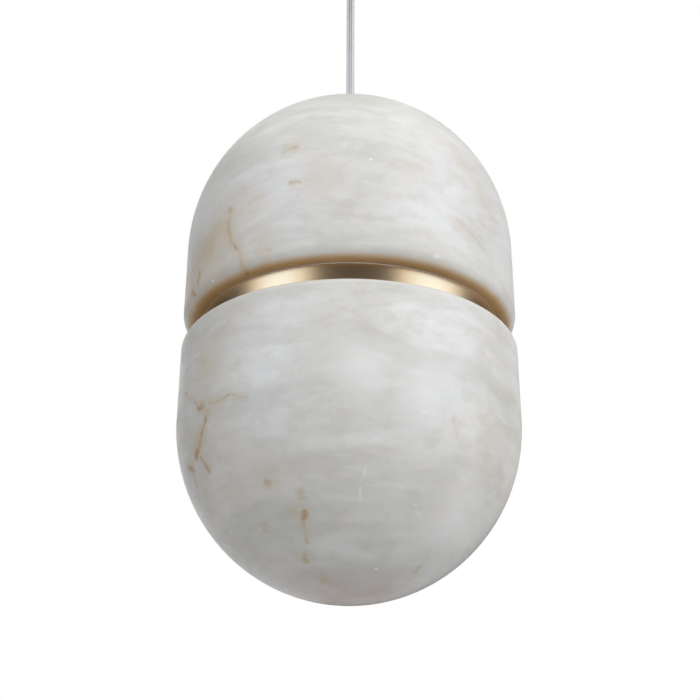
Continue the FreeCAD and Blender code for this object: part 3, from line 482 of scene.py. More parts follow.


# Places on the stone: azimuth in degrees and level in mm from the ceiling. Veins and
# streaks have a start, an end, a width in mm and a strength; beige clouds, pinkish clouds (partly
# painted shade) and whiter clouds (partly painted light) a middle, a size in mm and a strength.
# A strength over 1 makes the full part larger.
DOME_MARKS = {
    "veins": [
        ((-132, -316), (-133, -328), 2.2, 0.7), ((-133, -328), (-131, -343), 2.0, 0.8),
        ((-131, -343), (-127, -352), 1.6, 0.9), ((-127, -352), (-126, -367), 2.0, 1.0),
        ((-156, -356), (-153, -362), 1.6, 1.0), ((-149, -346), (-150, -356), 1.8, 0.8),
        ((-113, -287), (-107, -286), 2.4, 0.55), ((-110, -313), (-106, -314), 2.0, 0.5),
        ((-121, -355), (-115, -356), 2.0, 0.5), ((-54, -328), (-40, -340), 1.6, 0.25),
        ((35, -330), (52, -292), 1.8, 0.7), ((52, -292), (58, -268), 1.4, 0.6),
        ((140, -352), (128, -300), 1.8, 0.7),
    ],
    "clouds": [
        ((-128, -330), 30, 0.6), ((-140, -342), 40, 0.75), ((-158, -346), 38, 0.65),
        ((-118, -352), 20, 0.6), ((-110, -286), 14, 0.4), ((-98, -318), 22, 0.3),
        ((-62, -356), 26, 0.25), ((-66, -296), 18, 0.25), ((50, -300), 36, 0.6),
        ((130, -330), 40, 0.6),
    ],
    # Pinkish clouds, partly painted shade.
    "blush_and_painted_shade": [
        ((-50, -330), 14, 0.3), ((-148, -352), 30, 0.35),
    ],
    # Whiter clouds, partly the stone's milkiness and partly painted light.
    "milky_and_painted_light": [
        ((-150, -300), 40, 1.0), ((-28, -345), 30, 0.8), ((-35, -300), 30, 0.5),
    ],
    "streaks": [
        ((-128, -262), (-96, -254), 10, 0.5), ((-64, -360), (-60, -359), 5, 0.8),
        ((-60, -312), (-48, -308), 14, 0.5), ((-104, -328), (-88, -325), 12, 0.4),
        ((-78, -262), (-60, -252), 12, 0.4), ((70, -320), (92, -310), 10, 0.5),
        ((150, -300), (170, -310), 9, 0.4),
    ],
}
BOWL_MARKS = {
    "veins": [
        ((-156, -426), (-145, -441), 1.4, 0.5), ((-145, -443), (-140, -446), 2.0, 1.0),
        ((-139, -448), (-142, -455), 2.2, 0.8), ((-142, -455), (-149, -468), 1.8, 0.95),
        ((-149, -466), (-152, -471), 3.0, 0.9), ((-149, -468), (-147, -475), 1.3, 0.7),
        ((-147, -475), (-145, -482), 2.0, 0.8), ((-162, -470), (-155, -475), 1.8, 0.9),
        ((-157, -476), (-158, -484), 1.6, 0.4), ((-139, -445), (-129, -444), 1.2, 0.6),
        ((-129, -444), (-122, -449), 1.4, 0.45), ((-108, -499), (-108, -506), 2.4, 0.4),
        ((-109, -510), (-110, -514), 2.6, 1.1), ((-110, -514), (-112, -524), 1.8, 0.45),
        ((-114, -526), (-121, -532), 2.2, 0.6), ((-121, -494), (-119, -497), 3.0, 0.45),
        ((-129, -512), (-131, -517), 2.6, 0.45), ((-110, -536), (-118, -539), 2.4, 0.6),
        ((-57, -459), (-54, -469), 1.6, 0.45), ((-38, -530), (-33, -533), 2.2, 0.4),
        ((40, -430), (28, -470), 1.8, 0.7), ((28, -470), (34, -500), 1.6, 0.6),
        ((120, -410), (132, -455), 2.0, 0.8), ((132, -455), (128, -480), 1.6, 0.6),
    ],
    "clouds": [
        ((-148, -462), 20, 0.5), ((-140, -418), 26, 0.4), ((-120, -494), 22, 0.45),
        ((-108, -508), 10, 0.5), ((-121, -440), 5, 0.7), ((-106, -440), 4, 0.6),
        ((-125, -423), 6, 0.5), ((-102, -430), 5, 0.4), ((-95, -425), 4, 0.5),
        ((-140, -417), 4, 0.6), ((-124, -478), 7, 0.4), ((-118, -482), 6, 0.4),
        ((30, -480), 26, 0.5), ((128, -450), 30, 0.6),
    ],
    # Pinkish clouds, partly painted shade, the largest at the bowl's bottom.
    "blush_and_painted_shade": [
        ((-110, -546), 56, 1.2), ((-60, -544), 44, 1.1), ((-150, -470), 16, 0.4),
        ((100, -520), 40, 0.4),
    ],
    # Whiter clouds, partly the stone's milkiness and partly painted light.
    "milky_and_painted_light": [
        ((-88, -436), 34, 1.0), ((-68, -446), 30, 0.8), ((-40, -505), 40, 0.8),
        ((70, -450), 40, 0.6),
    ],
    "streaks": [
        ((-82, -400), (-66, -396), 4.5, 1.0), ((-68, -405), (-62, -404), 2.5, 0.9),
        ((-84, -478), (-79, -477), 2.2, 0.9), ((-68, -459), (-65, -459), 2.0, 0.9),
        ((-84, -489), (-86, -498), 1.6, 0.8), ((-86, -498), (-85, -508), 1.6, 0.9),
        ((-66, -505), (-61, -507), 2.0, 0.8), ((-62, -509), (-58, -510), 2.0, 0.8),
        ((-29, -493), (-26, -489), 2.2, 0.8), ((-88, -447), (-72, -446), 5.0, 0.6),
        ((-49, -488), (-40, -489), 1.6, 0.5), ((-118, -428), (-108, -424), 2.2, 0.5),
        ((60, -440), (80, -436), 6.0, 0.7), ((150, -470), (165, -465), 5.0, 0.7),
    ],
}


def alabaster(name, marks, rim, way, shift):
    """Honed, waxed alabaster: milk-white clouds in flat, sloping layers, soft white strokes and
    darker smudges along them, crystal grains, broad beige clouds, pinkish clouds that are partly
    painted shade, whiter clouds that are partly painted light, rusty veins whose colour soaks into
    the stone beside them, white streaks and a few white specks. At its rim beside the brass it has
    a painted warm reflection of the brass and a painted shade: from the rim's level, a few
    millimetres up or down the given way, the shade darkest right at the rim. The shift makes it
    another block of the same stone."""
    stone = bpy.context.scene.pendant_stone

    def warped(n, place, scale, amount, detail=2):
        """The place moved by noise, up to half the amount each way."""
        drift = n.vector_calc("SUBTRACT", n.noise(place, scale, detail, part="Color"),
                              (0.5, 0.5, 0.5))
        return n.vector_calc("ADD", place, n.scaled(drift, amount))

    def layers(n, place):
        """Clouds, strokes and smudges that lie in flat layers, and small patches, from 0 to 1."""
        flat = n.mapping(warped(n, place, 8, 0.045), (1, 1, 5),
                         (stone.layer_tilt, -stone.layer_tilt, 0))
        feathered = warped(n, flat, 30, 0.02, 3)
        clouds = n.between(n.noise(flat, 7, 4, 0.5), 0.36, 0.64)
        broad = n.between(n.noise(feathered, 17, 3, 0.5), 0.48, 0.68)
        strokes = n.between(n.noise(n.mapping(feathered, (1, 1, 1.3)), 46, 4, 0.55), 0.50, 0.72)
        smudges = n.between(n.noise(feathered, 15, 3, 0.5), 0.52, 0.74)
        patches = n.mapping(warped(n, place, 60, 0.012), (1, 1, 1.8))
        mottle = n.between(n.noise(patches, 70, 4, 0.6), 0.44, 0.66)
        return clouds, broad, strokes, smudges, mottle

    def crystals(n, place):
        """Patches of crystal: each cell has its own tone, and some have a pale edge."""
        grains = n.mapping(warped(n, place, 40, 0.02), (1, 1, 2.4))
        tone = n.split(n.cells(grains, 40, "F1", "Color"))[0]
        edge = n.between(n.cells(grains, 40, "DISTANCE_TO_EDGE"), 0.0, 0.06, 1.0, 0.0)
        patchy = n.between(n.noise(place, 14, 2), 0.50, 0.66)
        return n.calc("MULTIPLY", tone, patchy), n.calc("MULTIPLY", edge, patchy)

    def specks(n, place):
        """Small white grains, in a few cells only."""
        near = n.between(n.cells(place, 62), 0.05, 0.085, 1.0, 0.0)
        chosen = n.between(n.split(n.cells(place, 62, "F1", "Color"))[0], 0.74, 0.75)
        return n.calc("MULTIPLY", near, chosen)

    def build(n):
        place = n.place()
        drift = n.vector_calc("ADD", place, shift)
        clouds, broad, strokes, smudges, mottle = layers(n, drift)
        crystal, edge = crystals(n, drift)
        body = n.blend(clouds, stone.haze, stone.milk)
        body = n.blend(n.calc("MULTIPLY", smudges, 0.45), body, stone.smoke)
        body = n.blend(n.calc("MULTIPLY", broad, 0.4), body, stone.wisp)
        body = n.blend(n.calc("MULTIPLY", crystal, 0.35), body, stone.haze)
        body = n.blend(n.calc("MULTIPLY", strokes, 0.2), body, stone.wisp)
        body = n.blend(n.calc("MULTIPLY", mottle, 0.3), body, stone.smoke)
        body = n.blend(n.calc("MULTIPLY", edge, 0.12), body, stone.wisp)
        # Whiter, beige and pinkish clouds, patchy: the whiter ones are partly painted light, the pinkish ones
        # partly painted shade
        soft = warped(n, place, 14, 0.05)
        milky_and_painted_light = together(n, [cloud(n, soft, *given) for given in marks["milky_and_painted_light"]])
        body = n.blend(n.calc("MULTIPLY", milky_and_painted_light, 0.8), body, stone.wisp)
        patchy = n.between(n.noise(drift, 34, 4, 0.6), 0.3, 0.68, 0.35, 1.0)
        beige = together(n, [cloud(n, soft, *given) for given in marks["clouds"]])
        faint = n.between(n.noise(drift, 16, 3), 0.52, 0.76, 0.0, 0.35)
        beige = n.calc("MULTIPLY", n.calc("MAXIMUM", beige, faint), patchy)
        # Pinkish clouds, partly painted shade on the lower stone.
        pinkish_and_shade_mask = together(n, [cloud(n, soft, *given) for given in marks["blush_and_painted_shade"]])
        body = n.blend(n.calc("MULTIPLY", pinkish_and_shade_mask, patchy), body, stone.blush_and_painted_shade)
        body = n.blend(beige, body, stone.sand)
        # Veins wander a little, and their colour soaks into the stone beside them
        path = warped(n, warped(n, place, 70, 0.006), 300, 0.0014)
        beads = n.between(n.noise(place, 120, 3, 0.6), 0.36, 0.66, 0.15, 0.85)
        lines = together(n, [vein(n, path, *given) for given in marks["veins"]])
        soak = together(n, [vein(n, path, start, end, width * 4, strength)
                            for start, end, width, strength in marks["veins"]])
        body = n.blend(n.calc("MULTIPLY", soak, 0.45), body, stone.sand)
        body = n.blend(n.calc("MULTIPLY", lines, beads, clamp=True), body, stone.rust)
        # White streaks and specks
        white = together(n, [streak(n, path, *given) for given in marks["streaks"]])
        body = n.blend(n.calc("MULTIPLY", white, 0.7), body, stone.wisp)
        body = n.blend(specks(n, place), body, (1, 1, 1))
        # The rim beside the brass: a painted warm reflection of the brass over a few millimetres, and a painted
        # shade darkest right at the rim
        height = n.split(place)[2]
        glow = n.between(height, rim + way * 0.0002, rim + way * 0.0032, 1.0, 0.0)
        body = n.blend(glow, body, stone.glow, "MULTIPLY")
        # Painted shade under the rim, darkest right at it.
        shade = n.between(height, rim, rim + way * 0.0012, 0.3, 0.0)
        body = n.blend(shade, body, stone.shade, "MULTIPLY")
        relief = n.calc("ADD", n.calc("MULTIPLY", strokes, 0.3),
                        n.calc("MULTIPLY", n.noise(place, 420, 3), 0.25))
        relief = n.calc("SUBTRACT", relief, n.calc("MULTIPLY", lines, 0.6))
        return {
            "Base Color": body,
            "Roughness": n.between(clouds, 0.0, 1.0, 0.46, 0.38, False),
            "Normal": n.bump(relief, 0.00006, 0.6),
        }

    settings = {
        "Specular IOR Level": 0.35,
        "Subsurface Weight": 0.35,
        "Subsurface Radius": (1.0, 0.85, 0.68),
        "Subsurface Scale": 0.007,
        "Coat Weight": 0.06,
        "Coat Roughness": 0.25,
    }
    return finish(name, settings, build)


def stone_relief(radius, level, azimuth):
    """The hand-finished wall dips at most a tenth of a millimetre: minus a product of slow waves
    round the wall and up it."""
    waves = np.sin(5 * azimuth + 31 * level) * np.sin(47 * level + 2 * azimuth)
    return -0.0001 * (0.5 + 0.5 * waves) * (radius > 0.5 * STONE_RADIUS)


def dome_profile():
    """The dome's outline: across the rim, up the wall, over the cap, down the hole, back inside."""
    stone = bpy.context.scene.pendant_stone
    inner = STONE_RADIUS - stone.wall
    shoulder = DOME_RIM + stone.dome_straight
    top = DOME_HIGH.z
    rim = DOME_RIM
    soft = stone.inner_round
    rounding = stone.dome_round
    outer_end = math.degrees(math.acos(stone.dome_flat / STONE_RADIUS))
    inner_cap = stone.dome_cap - stone.crown_wall
    inner_end = math.degrees(math.acos(stone.crown_seat / inner))
    seat = shoulder + inner_cap * math.sin(math.radians(inner_end))
    return np.vstack((
        arc((inner + soft, rim + soft), (soft, soft), 180, 270, 4),
        arc((STONE_RADIUS - rounding, rim + rounding), (rounding, rounding), -90, 0, 16),
        np.linspace((STONE_RADIUS, rim + rounding), (STONE_RADIUS, shoulder), 10)[1:-1],
        arc((0, shoulder), (STONE_RADIUS, stone.dome_cap), 0, outer_end, 72),
        np.array(((stone.dome_hole + soft, top), (stone.dome_hole, top - soft),
                  (stone.dome_hole, seat))),
        arc((0, shoulder), (inner, inner_cap), inner_end, 0, 40),
    ))


def bowl_profile():
    """The bowl's outline: from the pole below, up outside, over the rim and down inside."""
    stone = bpy.context.scene.pendant_stone
    inner = STONE_RADIUS - stone.wall
    shoulder = BOWL_RIM - stone.bowl_straight
    rim = BOWL_RIM
    soft = stone.inner_round
    rounding = stone.bowl_round
    outer = arc((0, shoulder), (STONE_RADIUS, stone.bowl_cap), -90, 0, 80)
    inside = arc((0, shoulder), (inner, stone.bowl_cap - stone.crown_wall), 0, -90, 44)
    outer[0, 0] = 0
    inside[-1, 0] = 0
    return np.vstack((
        outer,
        np.linspace((STONE_RADIUS, shoulder), (STONE_RADIUS, rim - rounding), 10)[1:-1],
        arc((STONE_RADIUS - rounding, rim - rounding), (rounding, rounding), 0, 90, 12),
        arc((inner + soft, rim - soft), (soft, soft), 90, 180, 4),
        inside,
    ))


# ---- metals ----

def turned_metal(name, base, dull, roughness, line, depth):
    """Metal finished on a lathe: fine lines round the axis, from noise on the radius and the
    level over the line's width, hardly changing along the azimuth, and duller clouds."""

    def build(n):
        x, y, z = n.split(n.place())
        radius = n.flat_length(x, y)
        azimuth = n.calc("ARCTAN2", y, x)
        lines = n.join(n.calc("DIVIDE", radius, line), n.calc("MULTIPLY", azimuth, 1.5),
                       n.calc("DIVIDE", z, line))
        streak = n.noise(lines, 1.0, 3, 0.6)
        clouds = n.noise(n.place(), 28, 3)
        tone = n.calc("ADD", n.calc("MULTIPLY", streak, 0.5), n.calc("MULTIPLY", clouds, 0.5))
        return {
            "Base Color": n.blend(n.between(tone, 0.35, 0.65), dull, base),
            "Roughness": n.between(tone, 0.3, 0.7, roughness * 1.25, roughness * 0.85, False),
            "Normal": n.bump(streak, depth),
        }

    return finish(name, {"Metallic": 1.0}, build)


def plated_metal(name, base, dull, roughness, scale=900):
    """Plated or rolled metal: a mottled tone and a faint grain."""

    def build(n):
        place = n.place()
        spangle = n.split(n.cells(place, scale / 6, "F1", "Color"))[0]
        mottle = n.calc("ADD", n.calc("MULTIPLY", spangle, 0.3),
                        n.calc("MULTIPLY", n.noise(place, scale / 9, 4), 0.7))
        return {
            "Base Color": n.blend(n.between(mottle, 0.3, 0.7), dull, base),
            "Roughness": n.between(mottle, 0.25, 0.75, roughness * 1.2, roughness * 0.8, False),
            "Normal": n.bump(n.noise(place, scale, 3), 0.00002),
        }

    return finish(name, {"Metallic": 1.0}, build)


def plastic(name, base, shade, roughness, settings=None, grain=2200, depth=0.00002):
    """Moulded plastic, rubber or lacquer: a faint cloudy tone and a fine grain."""

    def build(n):
        place = n.place()
        clouds = n.between(n.noise(place, 60, 3), 0.35, 0.65)
        return {
            "Base Color": n.blend(clouds, shade, base),
            "Roughness": n.between(clouds, 0.0, 1.0, roughness * 1.15, roughness * 0.9, False),
            "Normal": n.bump(n.noise(place, grain, 2), depth),
        }

    return finish(name, settings or {}, build)


def lamp_board(name):
    """White solder mask, with copper tracks showing through faintly between the chips."""

    def build(n):
        place = n.place()
        x, y, z = n.split(place)
        radius = n.flat_length(x, y)
        track = n.between(n.calc("PINGPONG", radius, 0.004), 0.0028, 0.0031)
        clouds = n.noise(place, 80, 2)
        white = n.blend(clouds, linear(232, 234, 232), linear(240, 241, 239))
        return {
            "Base Color": n.blend(n.calc("MULTIPLY", track, 0.5), white, linear(214, 219, 212)),
            "Roughness": n.between(track, 0.0, 1.0, 0.35, 0.28, False),
            "Normal": n.bump(track, 0.00003),
        }

    return finish(name, {}, build)


def clear_plastic(name, tint, roughness):
    """Clear flexible plastic, with faint drawing lines along it."""

    def build(n):
        lines = n.noise(n.mapping(n.place(), (1, 1, 0.02)), 1500, 2)
        return {
            "Base Color": n.blend(n.between(lines, 0.3, 0.7), [c * 0.94 for c in tint], tint),
            "Roughness": n.between(lines, 0.3, 0.7, roughness * 0.8, roughness * 1.3, False),
            "Normal": n.bump(lines, 0.00001),
        }

    settings = {"Transmission Weight": 0.85, "IOR": 1.45}
    return finish(name, settings, build)


def tinned_copper(name, cable):
    """Tinned strands, mottled, and darkened by painted shade and dark reflection the nearer they are to the rose.
    """

    def build(n):
        place = n.place()
        # Painted darkening towards the rose: shade and dark reflection, not aged tin.
        painted_darkening = n.between(n.split(place)[2], TILT_LEVEL + 0.013, TILT_LEVEL + 0.098, 0.0, 1.0, False)
        mottle = n.noise(place, 260, 3)
        bright = n.blend(n.between(mottle, 0.35, 0.65), cable.tin, linear(172, 174, 182))
        return {
            "Base Color": n.blend(painted_darkening, bright, cable.painted_shade_tin),
            "Roughness": n.between(mottle, 0.3, 0.7, 0.26, 0.36, False),
        }

    return finish(name, {"Metallic": 1.0}, build)


def finishes():
    """The finish for each material slot of the record, but the two stone halves' own."""
    brass = bpy.context.scene.pendant_brass
    cable = bpy.context.scene.pendant_cable
    gold, dull = brass.gold, brass.tarnish
    opal = {"Subsurface Weight": 0.3, "Subsurface Scale": 0.003, "Transmission Weight": 0.25}
    soft = {"Subsurface Weight": 0.25, "Subsurface Scale": 0.002}
    return {
        "band_brass": turned_metal("band_brass", gold, dull, brass.satin, 0.00016, 0.0000015),
        "turned_brass": turned_metal("turned_brass", gold, dull, 0.2, 0.00025, 0.00001),
        "rose_brass": turned_metal("rose_brass", gold, dull, 0.27, 0.0003, 0.000012),
        "aluminium": turned_metal("aluminium", linear(226, 227, 230), linear(206, 207, 211), 0.3,
                                  0.0004, 0.00002),
        "zinc_steel": plated_metal("zinc_steel", linear(208, 210, 214), linear(184, 186, 190),
                                   0.26),
        "plate_steel": plated_metal("plate_steel", linear(198, 201, 205), linear(170, 173, 178),
                                    0.38),
        "board_white": lamp_board("board_white"),
        "chip_yellow": plastic("chip_yellow", linear(243, 214, 104), linear(232, 196, 84), 0.3),
        "opal": plastic("opal", linear(242, 242, 240), linear(236, 236, 233), 0.35, opal),
        "silicone": plastic("silicone", linear(226, 226, 222), linear(214, 214, 209), 0.45, soft),
        "clear_jacket": clear_plastic("clear_jacket", cable.clear, 0.14),
        "insert_plastic": plastic("insert_plastic", linear(230, 229, 225), linear(220, 219, 214),
                                  0.5),
        "driver_plastic": plastic("driver_plastic", linear(236, 236, 234), linear(226, 226, 223),
                                  0.48, grain=900, depth=0.00004),
        "terminal_plastic": plastic("terminal_plastic", linear(226, 222, 208),
                                    linear(214, 210, 194), 0.5),
        "lead_jacket": plastic("lead_jacket", linear(228, 228, 226), linear(216, 216, 213), 0.4),
    }


def finish_of(slot):
    """The finish made for a slot, made when it is first needed."""
    if slot not in bpy.data.materials:
        finishes()
    return bpy.data.materials[slot]


# ---- operators ----

class PENDANT_OT_camera(bpy.types.Operator):
    """Put the camera below the pendant, looking up at it"""

    bl_idname = "pendant.camera"
    bl_label = "Camera"

    def execute(self, context):
        studio = context.scene.pendant_studio
        data = bpy.data.cameras.new("view_from_below")
        data.lens = studio.lens
        data.sensor_width = 36
        data.clip_start = 0.01
        data.clip_end = 50
        camera = new_object("view_from_below", data)
        look = Vector((studio.look_side, 0, studio.look_level))
        back = Vector((0, -math.cos(studio.elevation), math.sin(studio.elevation)))
        camera.location = look + back * studio.distance
        turn = (-back).to_track_quat("-Z", "Y").to_matrix().to_4x4()
        camera.rotation_euler = (turn @ Matrix.Rotation(studio.roll, 4, "Z")).to_euler()
        context.scene.camera = camera
        return {"FINISHED"}


class PENDANT_OT_cable(bpy.types.Operator):
    """Make the clear cable, its two tinned cores and its steel wire"""

    bl_idname = "pendant.cable"
    bl_label = "Cable"

    def execute(self, context):
        cable = context.scene.pendant_cable
        # The same route as the CAD's cable: straight down from one grip to the other
        route = [(0, 0, SWING_LEVEL), (0, 0, (SWING_LEVEL + TILT_LEVEL) / 2), (0, 0, TILT_LEVEL)]
        curve = bpy.data.curves.new("cable_jacket", "CURVE")
        curve.dimensions = "3D"
        spline = curve.splines.new("NURBS")
        spline.points.add(len(route) - 1)
        for point, place in zip(spline.points, route):
            point.co = (*place, 1)
            point.radius = cable.diameter / 2
        spline.order_u = 3
        spline.use_endpoint_u = True
        curve.resolution_u = 24
        jacket = new_object("cable_jacket", curve)
        line = bpy.data.meshes.new_from_object(jacket)
        path = np.empty(len(line.vertices) * 3)
        line.vertices.foreach_get("co", path)
        path = path.reshape(-1, 3)
        bpy.data.meshes.remove(line)
        curve.bevel_depth = 1
        curve.bevel_resolution = 8
        curve.use_fill_caps = True
        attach(jacket, "cord")
        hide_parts("power_cord")
        curve.materials.append(finish_of("clear_jacket"))
        cores = self.stranded("cable_cores", path, cable, cable.core, [
            (-cable.core_gap / 2, -cable.core_forward),
            (cable.core_gap / 2, -cable.core_forward),
        ], cable.lay)
        wire = self.stranded("cable_steel_wire", path, cable, cable.wire,
                             [(cable.core_gap / 2, cable.wire_back)], cable.lay / 2)
        wear(cores, tinned_copper("tinned_copper", cable))
        wear(wire, finish_of("zinc_steel"))
        return {"FINISHED"}

    def stranded(self, name, path, cable, diameter, places, lay):
        """Strands laid round one in the middle: each runs along the cable's line, and its place
        across it is the bundle's place plus a circle of twice the strand's radius that turns
        once in a lay."""
        steps = int(round((path[0, 2] - path[-1, 2]) / lay * 16))
        share = np.linspace(0, 1, steps + 1)
        along = np.linspace(0, 1, len(path))
        line = np.stack([np.interp(share, along, path[:, axis]) for axis in range(3)], -1)
        turn = 2 * math.pi * (line[0, 2] - line[:, 2]) / lay
        strand = diameter / 6
        vertices, faces, count = [], [], 0
        for right, forward in places:
            for index in range(cable.strands + 1):
                middle = index == cable.strands
                circle = 0 if middle else 2 * strand
                angle = turn + 2 * math.pi * index / cable.strands
                path_here = line + np.stack((right + circle * np.cos(angle),
                                             forward + circle * np.sin(angle),
                                             np.zeros_like(angle)), -1)
                made = swept(path_here, np.array((1.0, 0, 0)), strand, 8, count)
                vertices.append(made[0])
                faces += made[1]
                count += len(made[0])
        return mesh_object(name, np.vstack(vertices), faces, "cord")


class PENDANT_OT_stone(bpy.types.Operator):
    """Make the dome and the bowl of alabaster"""

    bl_idname = "pendant.stone"
    bl_label = "Stone halves"

    def execute(self, context):
        dome = turned("dome_shell", "pendant", dome_profile(), 320, stone_relief)
        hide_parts("upper_dome")
        wear(dome, alabaster("alabaster_dome", DOME_MARKS, DOME_RIM, 1, (0.0, 0.0, 0.0)))
        bowl = turned("bowl_shell", "bowl", bowl_profile(), 320, stone_relief)
        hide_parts("lower_bowl")
        wear(bowl, alabaster("alabaster_bowl", BOWL_MARKS, BOWL_RIM, -0.5, (0.37, 0.21, 0.0)))
        return {"FINISHED"}


class PENDANT_OT_band(bpy.types.Operator):
    """Make the brushed brass band between the stone halves"""

    bl_idname = "pendant.band"
    bl_label = "Brass band"

    def execute(self, context):
        brass = context.scene.pendant_brass
        outer = BAND_HIGH.x
        inner = outer - BAND_THICK
        edge = brass.edge
        profile = rounded([
            (inner, BAND_LOW.z, edge / 4),
            (outer, BAND_LOW.z, edge),
            (outer, BAND_HIGH.z, edge),
            (inner, BAND_HIGH.z, edge / 4),
        ])
        band = turned("band_sleeve", "pendant", profile, 360)
        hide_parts("brass_band")
        wear(band, finish_of("band_brass"))
        return {"FINISHED"}


class PENDANT_OT_fittings(bpy.types.Operator):
    """Give every CAD piece that still shows the finish of its slot"""

    bl_idname = "pendant.fittings"
    bl_label = "Fittings"

    def execute(self, context):
        for part in frame["record"]["subparts"]:
            node = frame["nodes"][part["node"]]
            if node.hide_render:
                continue
            material = finish_of(part["material_slot"])
            for slot in node.material_slots:
                slot.material = material
        return {"FINISHED"}


class PENDANT_OT_studio(bpy.types.Operator):
    """Put up the floor, the softboxes, the cards and cloths, and the white background"""

    bl_idname = "pendant.studio"
    bl_label = "Studio"

    def execute(self, context):
        studio = context.scene.pendant_studio
        context.scene.view_settings.view_transform = "Standard"
        self.room(context.scene, studio)
        self.floor(studio)
        self.softbox("right_softbox", 46, 14, 1.7, (1.5, 1.7), studio.right_power)
        self.softbox("left_softbox", -50, 20, 1.7, (1.4, 1.5), studio.left_power)
        self.softbox("top_softbox", -10, 70, 1.6, (1.4, 1.4), studio.top_power)
        for name, (start, end) in CLOTHS.items():
            self.card(name, start, end, studio.cloth, studio.cloth)
        for name, (start, end) in CARDS.items():
            self.card(name, start, end, studio.card, CARD_EDGE)
        return {"FINISHED"}

    def room(self, scene, studio):
        """White where the camera, glossy and transmission rays look, and a plain even light."""
        world = bpy.data.worlds.new("studio")
        world.use_nodes = True
        scene.world = world
        n = Nodes(world.node_tree)
        seen = seen_directly(n)
        strength = n.between(seen, 0.0, 1.0, studio.room_light, 1.0, False)
        background = world.node_tree.nodes["Background"]
        background.inputs["Color"].default_value = (1, 1, 1, 1)
        world.node_tree.links.new(strength, background.inputs["Strength"])

    def floor(self, studio):
        """A pale round floor that turns into the white background away from the pendant: a disc
        of rings, point = (radius cos a, radius sin a, level)."""
        columns = 64
        radii = np.linspace(0, 6, 25)[1:]
        angle = np.linspace(0, 2 * math.pi, columns, endpoint=False)
        grid = np.stack((radii[:, None] * np.cos(angle), radii[:, None] * np.sin(angle),
                         np.full((len(radii), columns), studio.floor_level)), -1).reshape(-1, 3)
        faces = quads_between(len(radii), columns).tolist() + [np.arange(columns)[::-1].tolist()]
        mesh = bpy.data.meshes.new("floor")
        mesh.from_pydata(grid, [], [face[::-1] for face in faces])
        floor = new_object("floor", mesh)
        material = bpy.data.materials.new("pale_floor")
        material.use_nodes = True
        tree = material.node_tree
        n = Nodes(tree)
        shader = tree.nodes["Principled BSDF"]
        shader.inputs["Roughness"].default_value = 0.9
        pale = n.blend(seen_directly(n), linear(208, 208, 208), linear(244, 244, 244))
        tree.links.new(pale, shader.inputs["Base Color"])
        x, y, z = n.split(n.place())
        fade = n.calc("MULTIPLY", n.between(n.flat_length(x, y), 0.5, 2.2), seen_directly(n))
        glow = n.node("ShaderNodeEmission", [("Color", (1, 1, 1, 1)), ("Strength", 1.0)])
        mix = n.node("ShaderNodeMixShader", [(0, fade), (1, shader.outputs[0]),
                                             (2, glow.outputs[0])])
        tree.links.new(mix.outputs[0], tree.nodes["Material Output"].inputs["Surface"])
        mesh.materials.append(material)

    def softbox(self, name, azimuth, elevation, distance, size, power):
        """A softbox that faces the pendant. Its azimuth is counted to the right of the camera."""
        data = bpy.data.lights.new(name, "AREA")
        data.shape = "RECTANGLE"
        data.size, data.size_y = size
        data.energy = power
        lamp = new_object(name, data)
        lamp.visible_glossy = False
        way = direction(azimuth, elevation)
        lamp.location = STUDIO_MIDDLE + way * distance
        lamp.rotation_euler = way.to_track_quat("Z", "Y").to_euler()

    def card(self, name, start, end, core, edge):
        """An upright card or cloth on a part of a circle round the pendant that only reflections
        see: point = (radius sin a, -radius cos a, level). It shines by itself, from one tone
        along its middle to another at its ends."""
        columns, rows = 17, 5
        azimuth = np.radians(np.linspace(start, end, columns))[None, :] + np.zeros((rows, 1))
        level = np.linspace(CARD_LOW, CARD_HIGH, rows)[:, None] + np.zeros((1, columns))
        grid = np.stack((CARD_RADIUS * np.sin(azimuth), -CARD_RADIUS * np.cos(azimuth),
                         STUDIO_MIDDLE.z + level), -1).reshape(-1, 3)
        mesh = bpy.data.meshes.new(name)
        mesh.from_pydata(grid, [], quads_between(rows, columns, ring=False).tolist())
        material = bpy.data.materials.new(name)
        material.use_nodes = True
        tree = material.node_tree
        n = Nodes(tree)
        centre = direction((start + end) / 2, 0) * CARD_RADIUS
        across = n.vector_calc("SUBTRACT", n.vector_calc("MULTIPLY", n.place(), (1, 1, 0)),
                               tuple(centre))
        half = CARD_RADIUS * math.sin(math.radians(end - start) / 2)
        away = n.between(n.vector_calc("LENGTH", across), half * 0.2, half)
        shine = n.node("ShaderNodeEmission", [("Color", n.blend(away, core, edge))])
        tree.links.new(shine.outputs[0], tree.nodes["Material Output"].inputs["Surface"])
        mesh.materials.append(material)
        card = new_object(name, mesh)
        card.visible_camera = False
        card.visible_diffuse = False
        card.visible_transmission = False
        card.visible_shadow = False


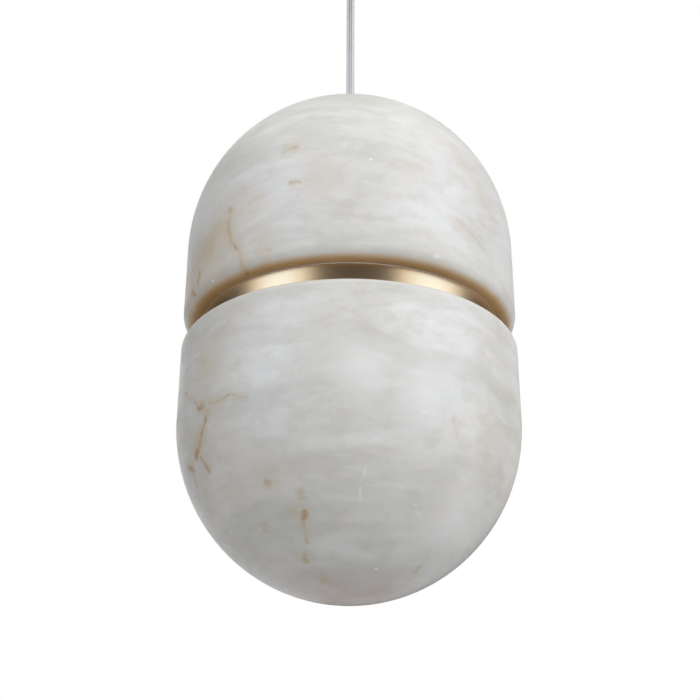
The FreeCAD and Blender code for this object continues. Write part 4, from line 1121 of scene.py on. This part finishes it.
def direction(azimuth, elevation):
    """The way from the pendant at an azimuth to the right of the camera, and an elevation."""
    a, e = math.radians(azimuth), math.radians(elevation)
    return Vector((math.sin(a) * math.cos(e), -math.cos(a) * math.cos(e), math.sin(e)))


def seen_directly(n):
    """1 for camera, glossy and transmission rays, 0 for the light on the pendant."""
    rays = n.node("ShaderNodeLightPath").outputs
    seen = n.calc("MAXIMUM", rays["Is Camera Ray"], rays["Is Glossy Ray"])
    return n.calc("MAXIMUM", seen, rays["Is Transmission Ray"])


class VIEW3D_PT_pendant(bpy.types.Panel):
    """The pendant's steps and sizes"""

    bl_label = "Alabaster pendant"
    bl_space_type = "VIEW_3D"
    bl_region_type = "UI"
    bl_category = "Pendant"

    def draw(self, context):
        layout = self.layout
        for step in STEPS:
            layout.operator(step.bl_idname)
        for group in GROUPS:
            box = layout.box()
            settings = getattr(context.scene, group)
            for name in GROUPS[group].__annotations__:
                box.prop(settings, name)


GROUPS = {
    "pendant_stone": PendantStone,
    "pendant_brass": PendantBrass,
    "pendant_cable": PendantCable,
    "pendant_studio": PendantStudio,
}
STEPS = (
    PENDANT_OT_camera,
    PENDANT_OT_cable,
    PENDANT_OT_stone,
    PENDANT_OT_band,
    PENDANT_OT_fittings,
    PENDANT_OT_studio,
)


def register():
    for group, settings in GROUPS.items():
        bpy.utils.register_class(settings)
        setattr(bpy.types.Scene, group, PointerProperty(type=settings))
    for step in STEPS:
        bpy.utils.register_class(step)
    bpy.utils.register_class(VIEW3D_PT_pendant)


def unregister():
    bpy.utils.unregister_class(VIEW3D_PT_pendant)
    for step in reversed(STEPS):
        bpy.utils.unregister_class(step)
    for group, settings in GROUPS.items():
        delattr(bpy.types.Scene, group)
        bpy.utils.unregister_class(settings)


def main():
    register()
    bpy.ops.pendant.camera()
    bpy.ops.pendant.cable()
    bpy.ops.pendant.stone()
    bpy.ops.pendant.band()
    bpy.ops.pendant.fittings()
    bpy.ops.pendant.studio()
    bpy.context.view_layer.update()


if __name__ == "__main__":
    main()
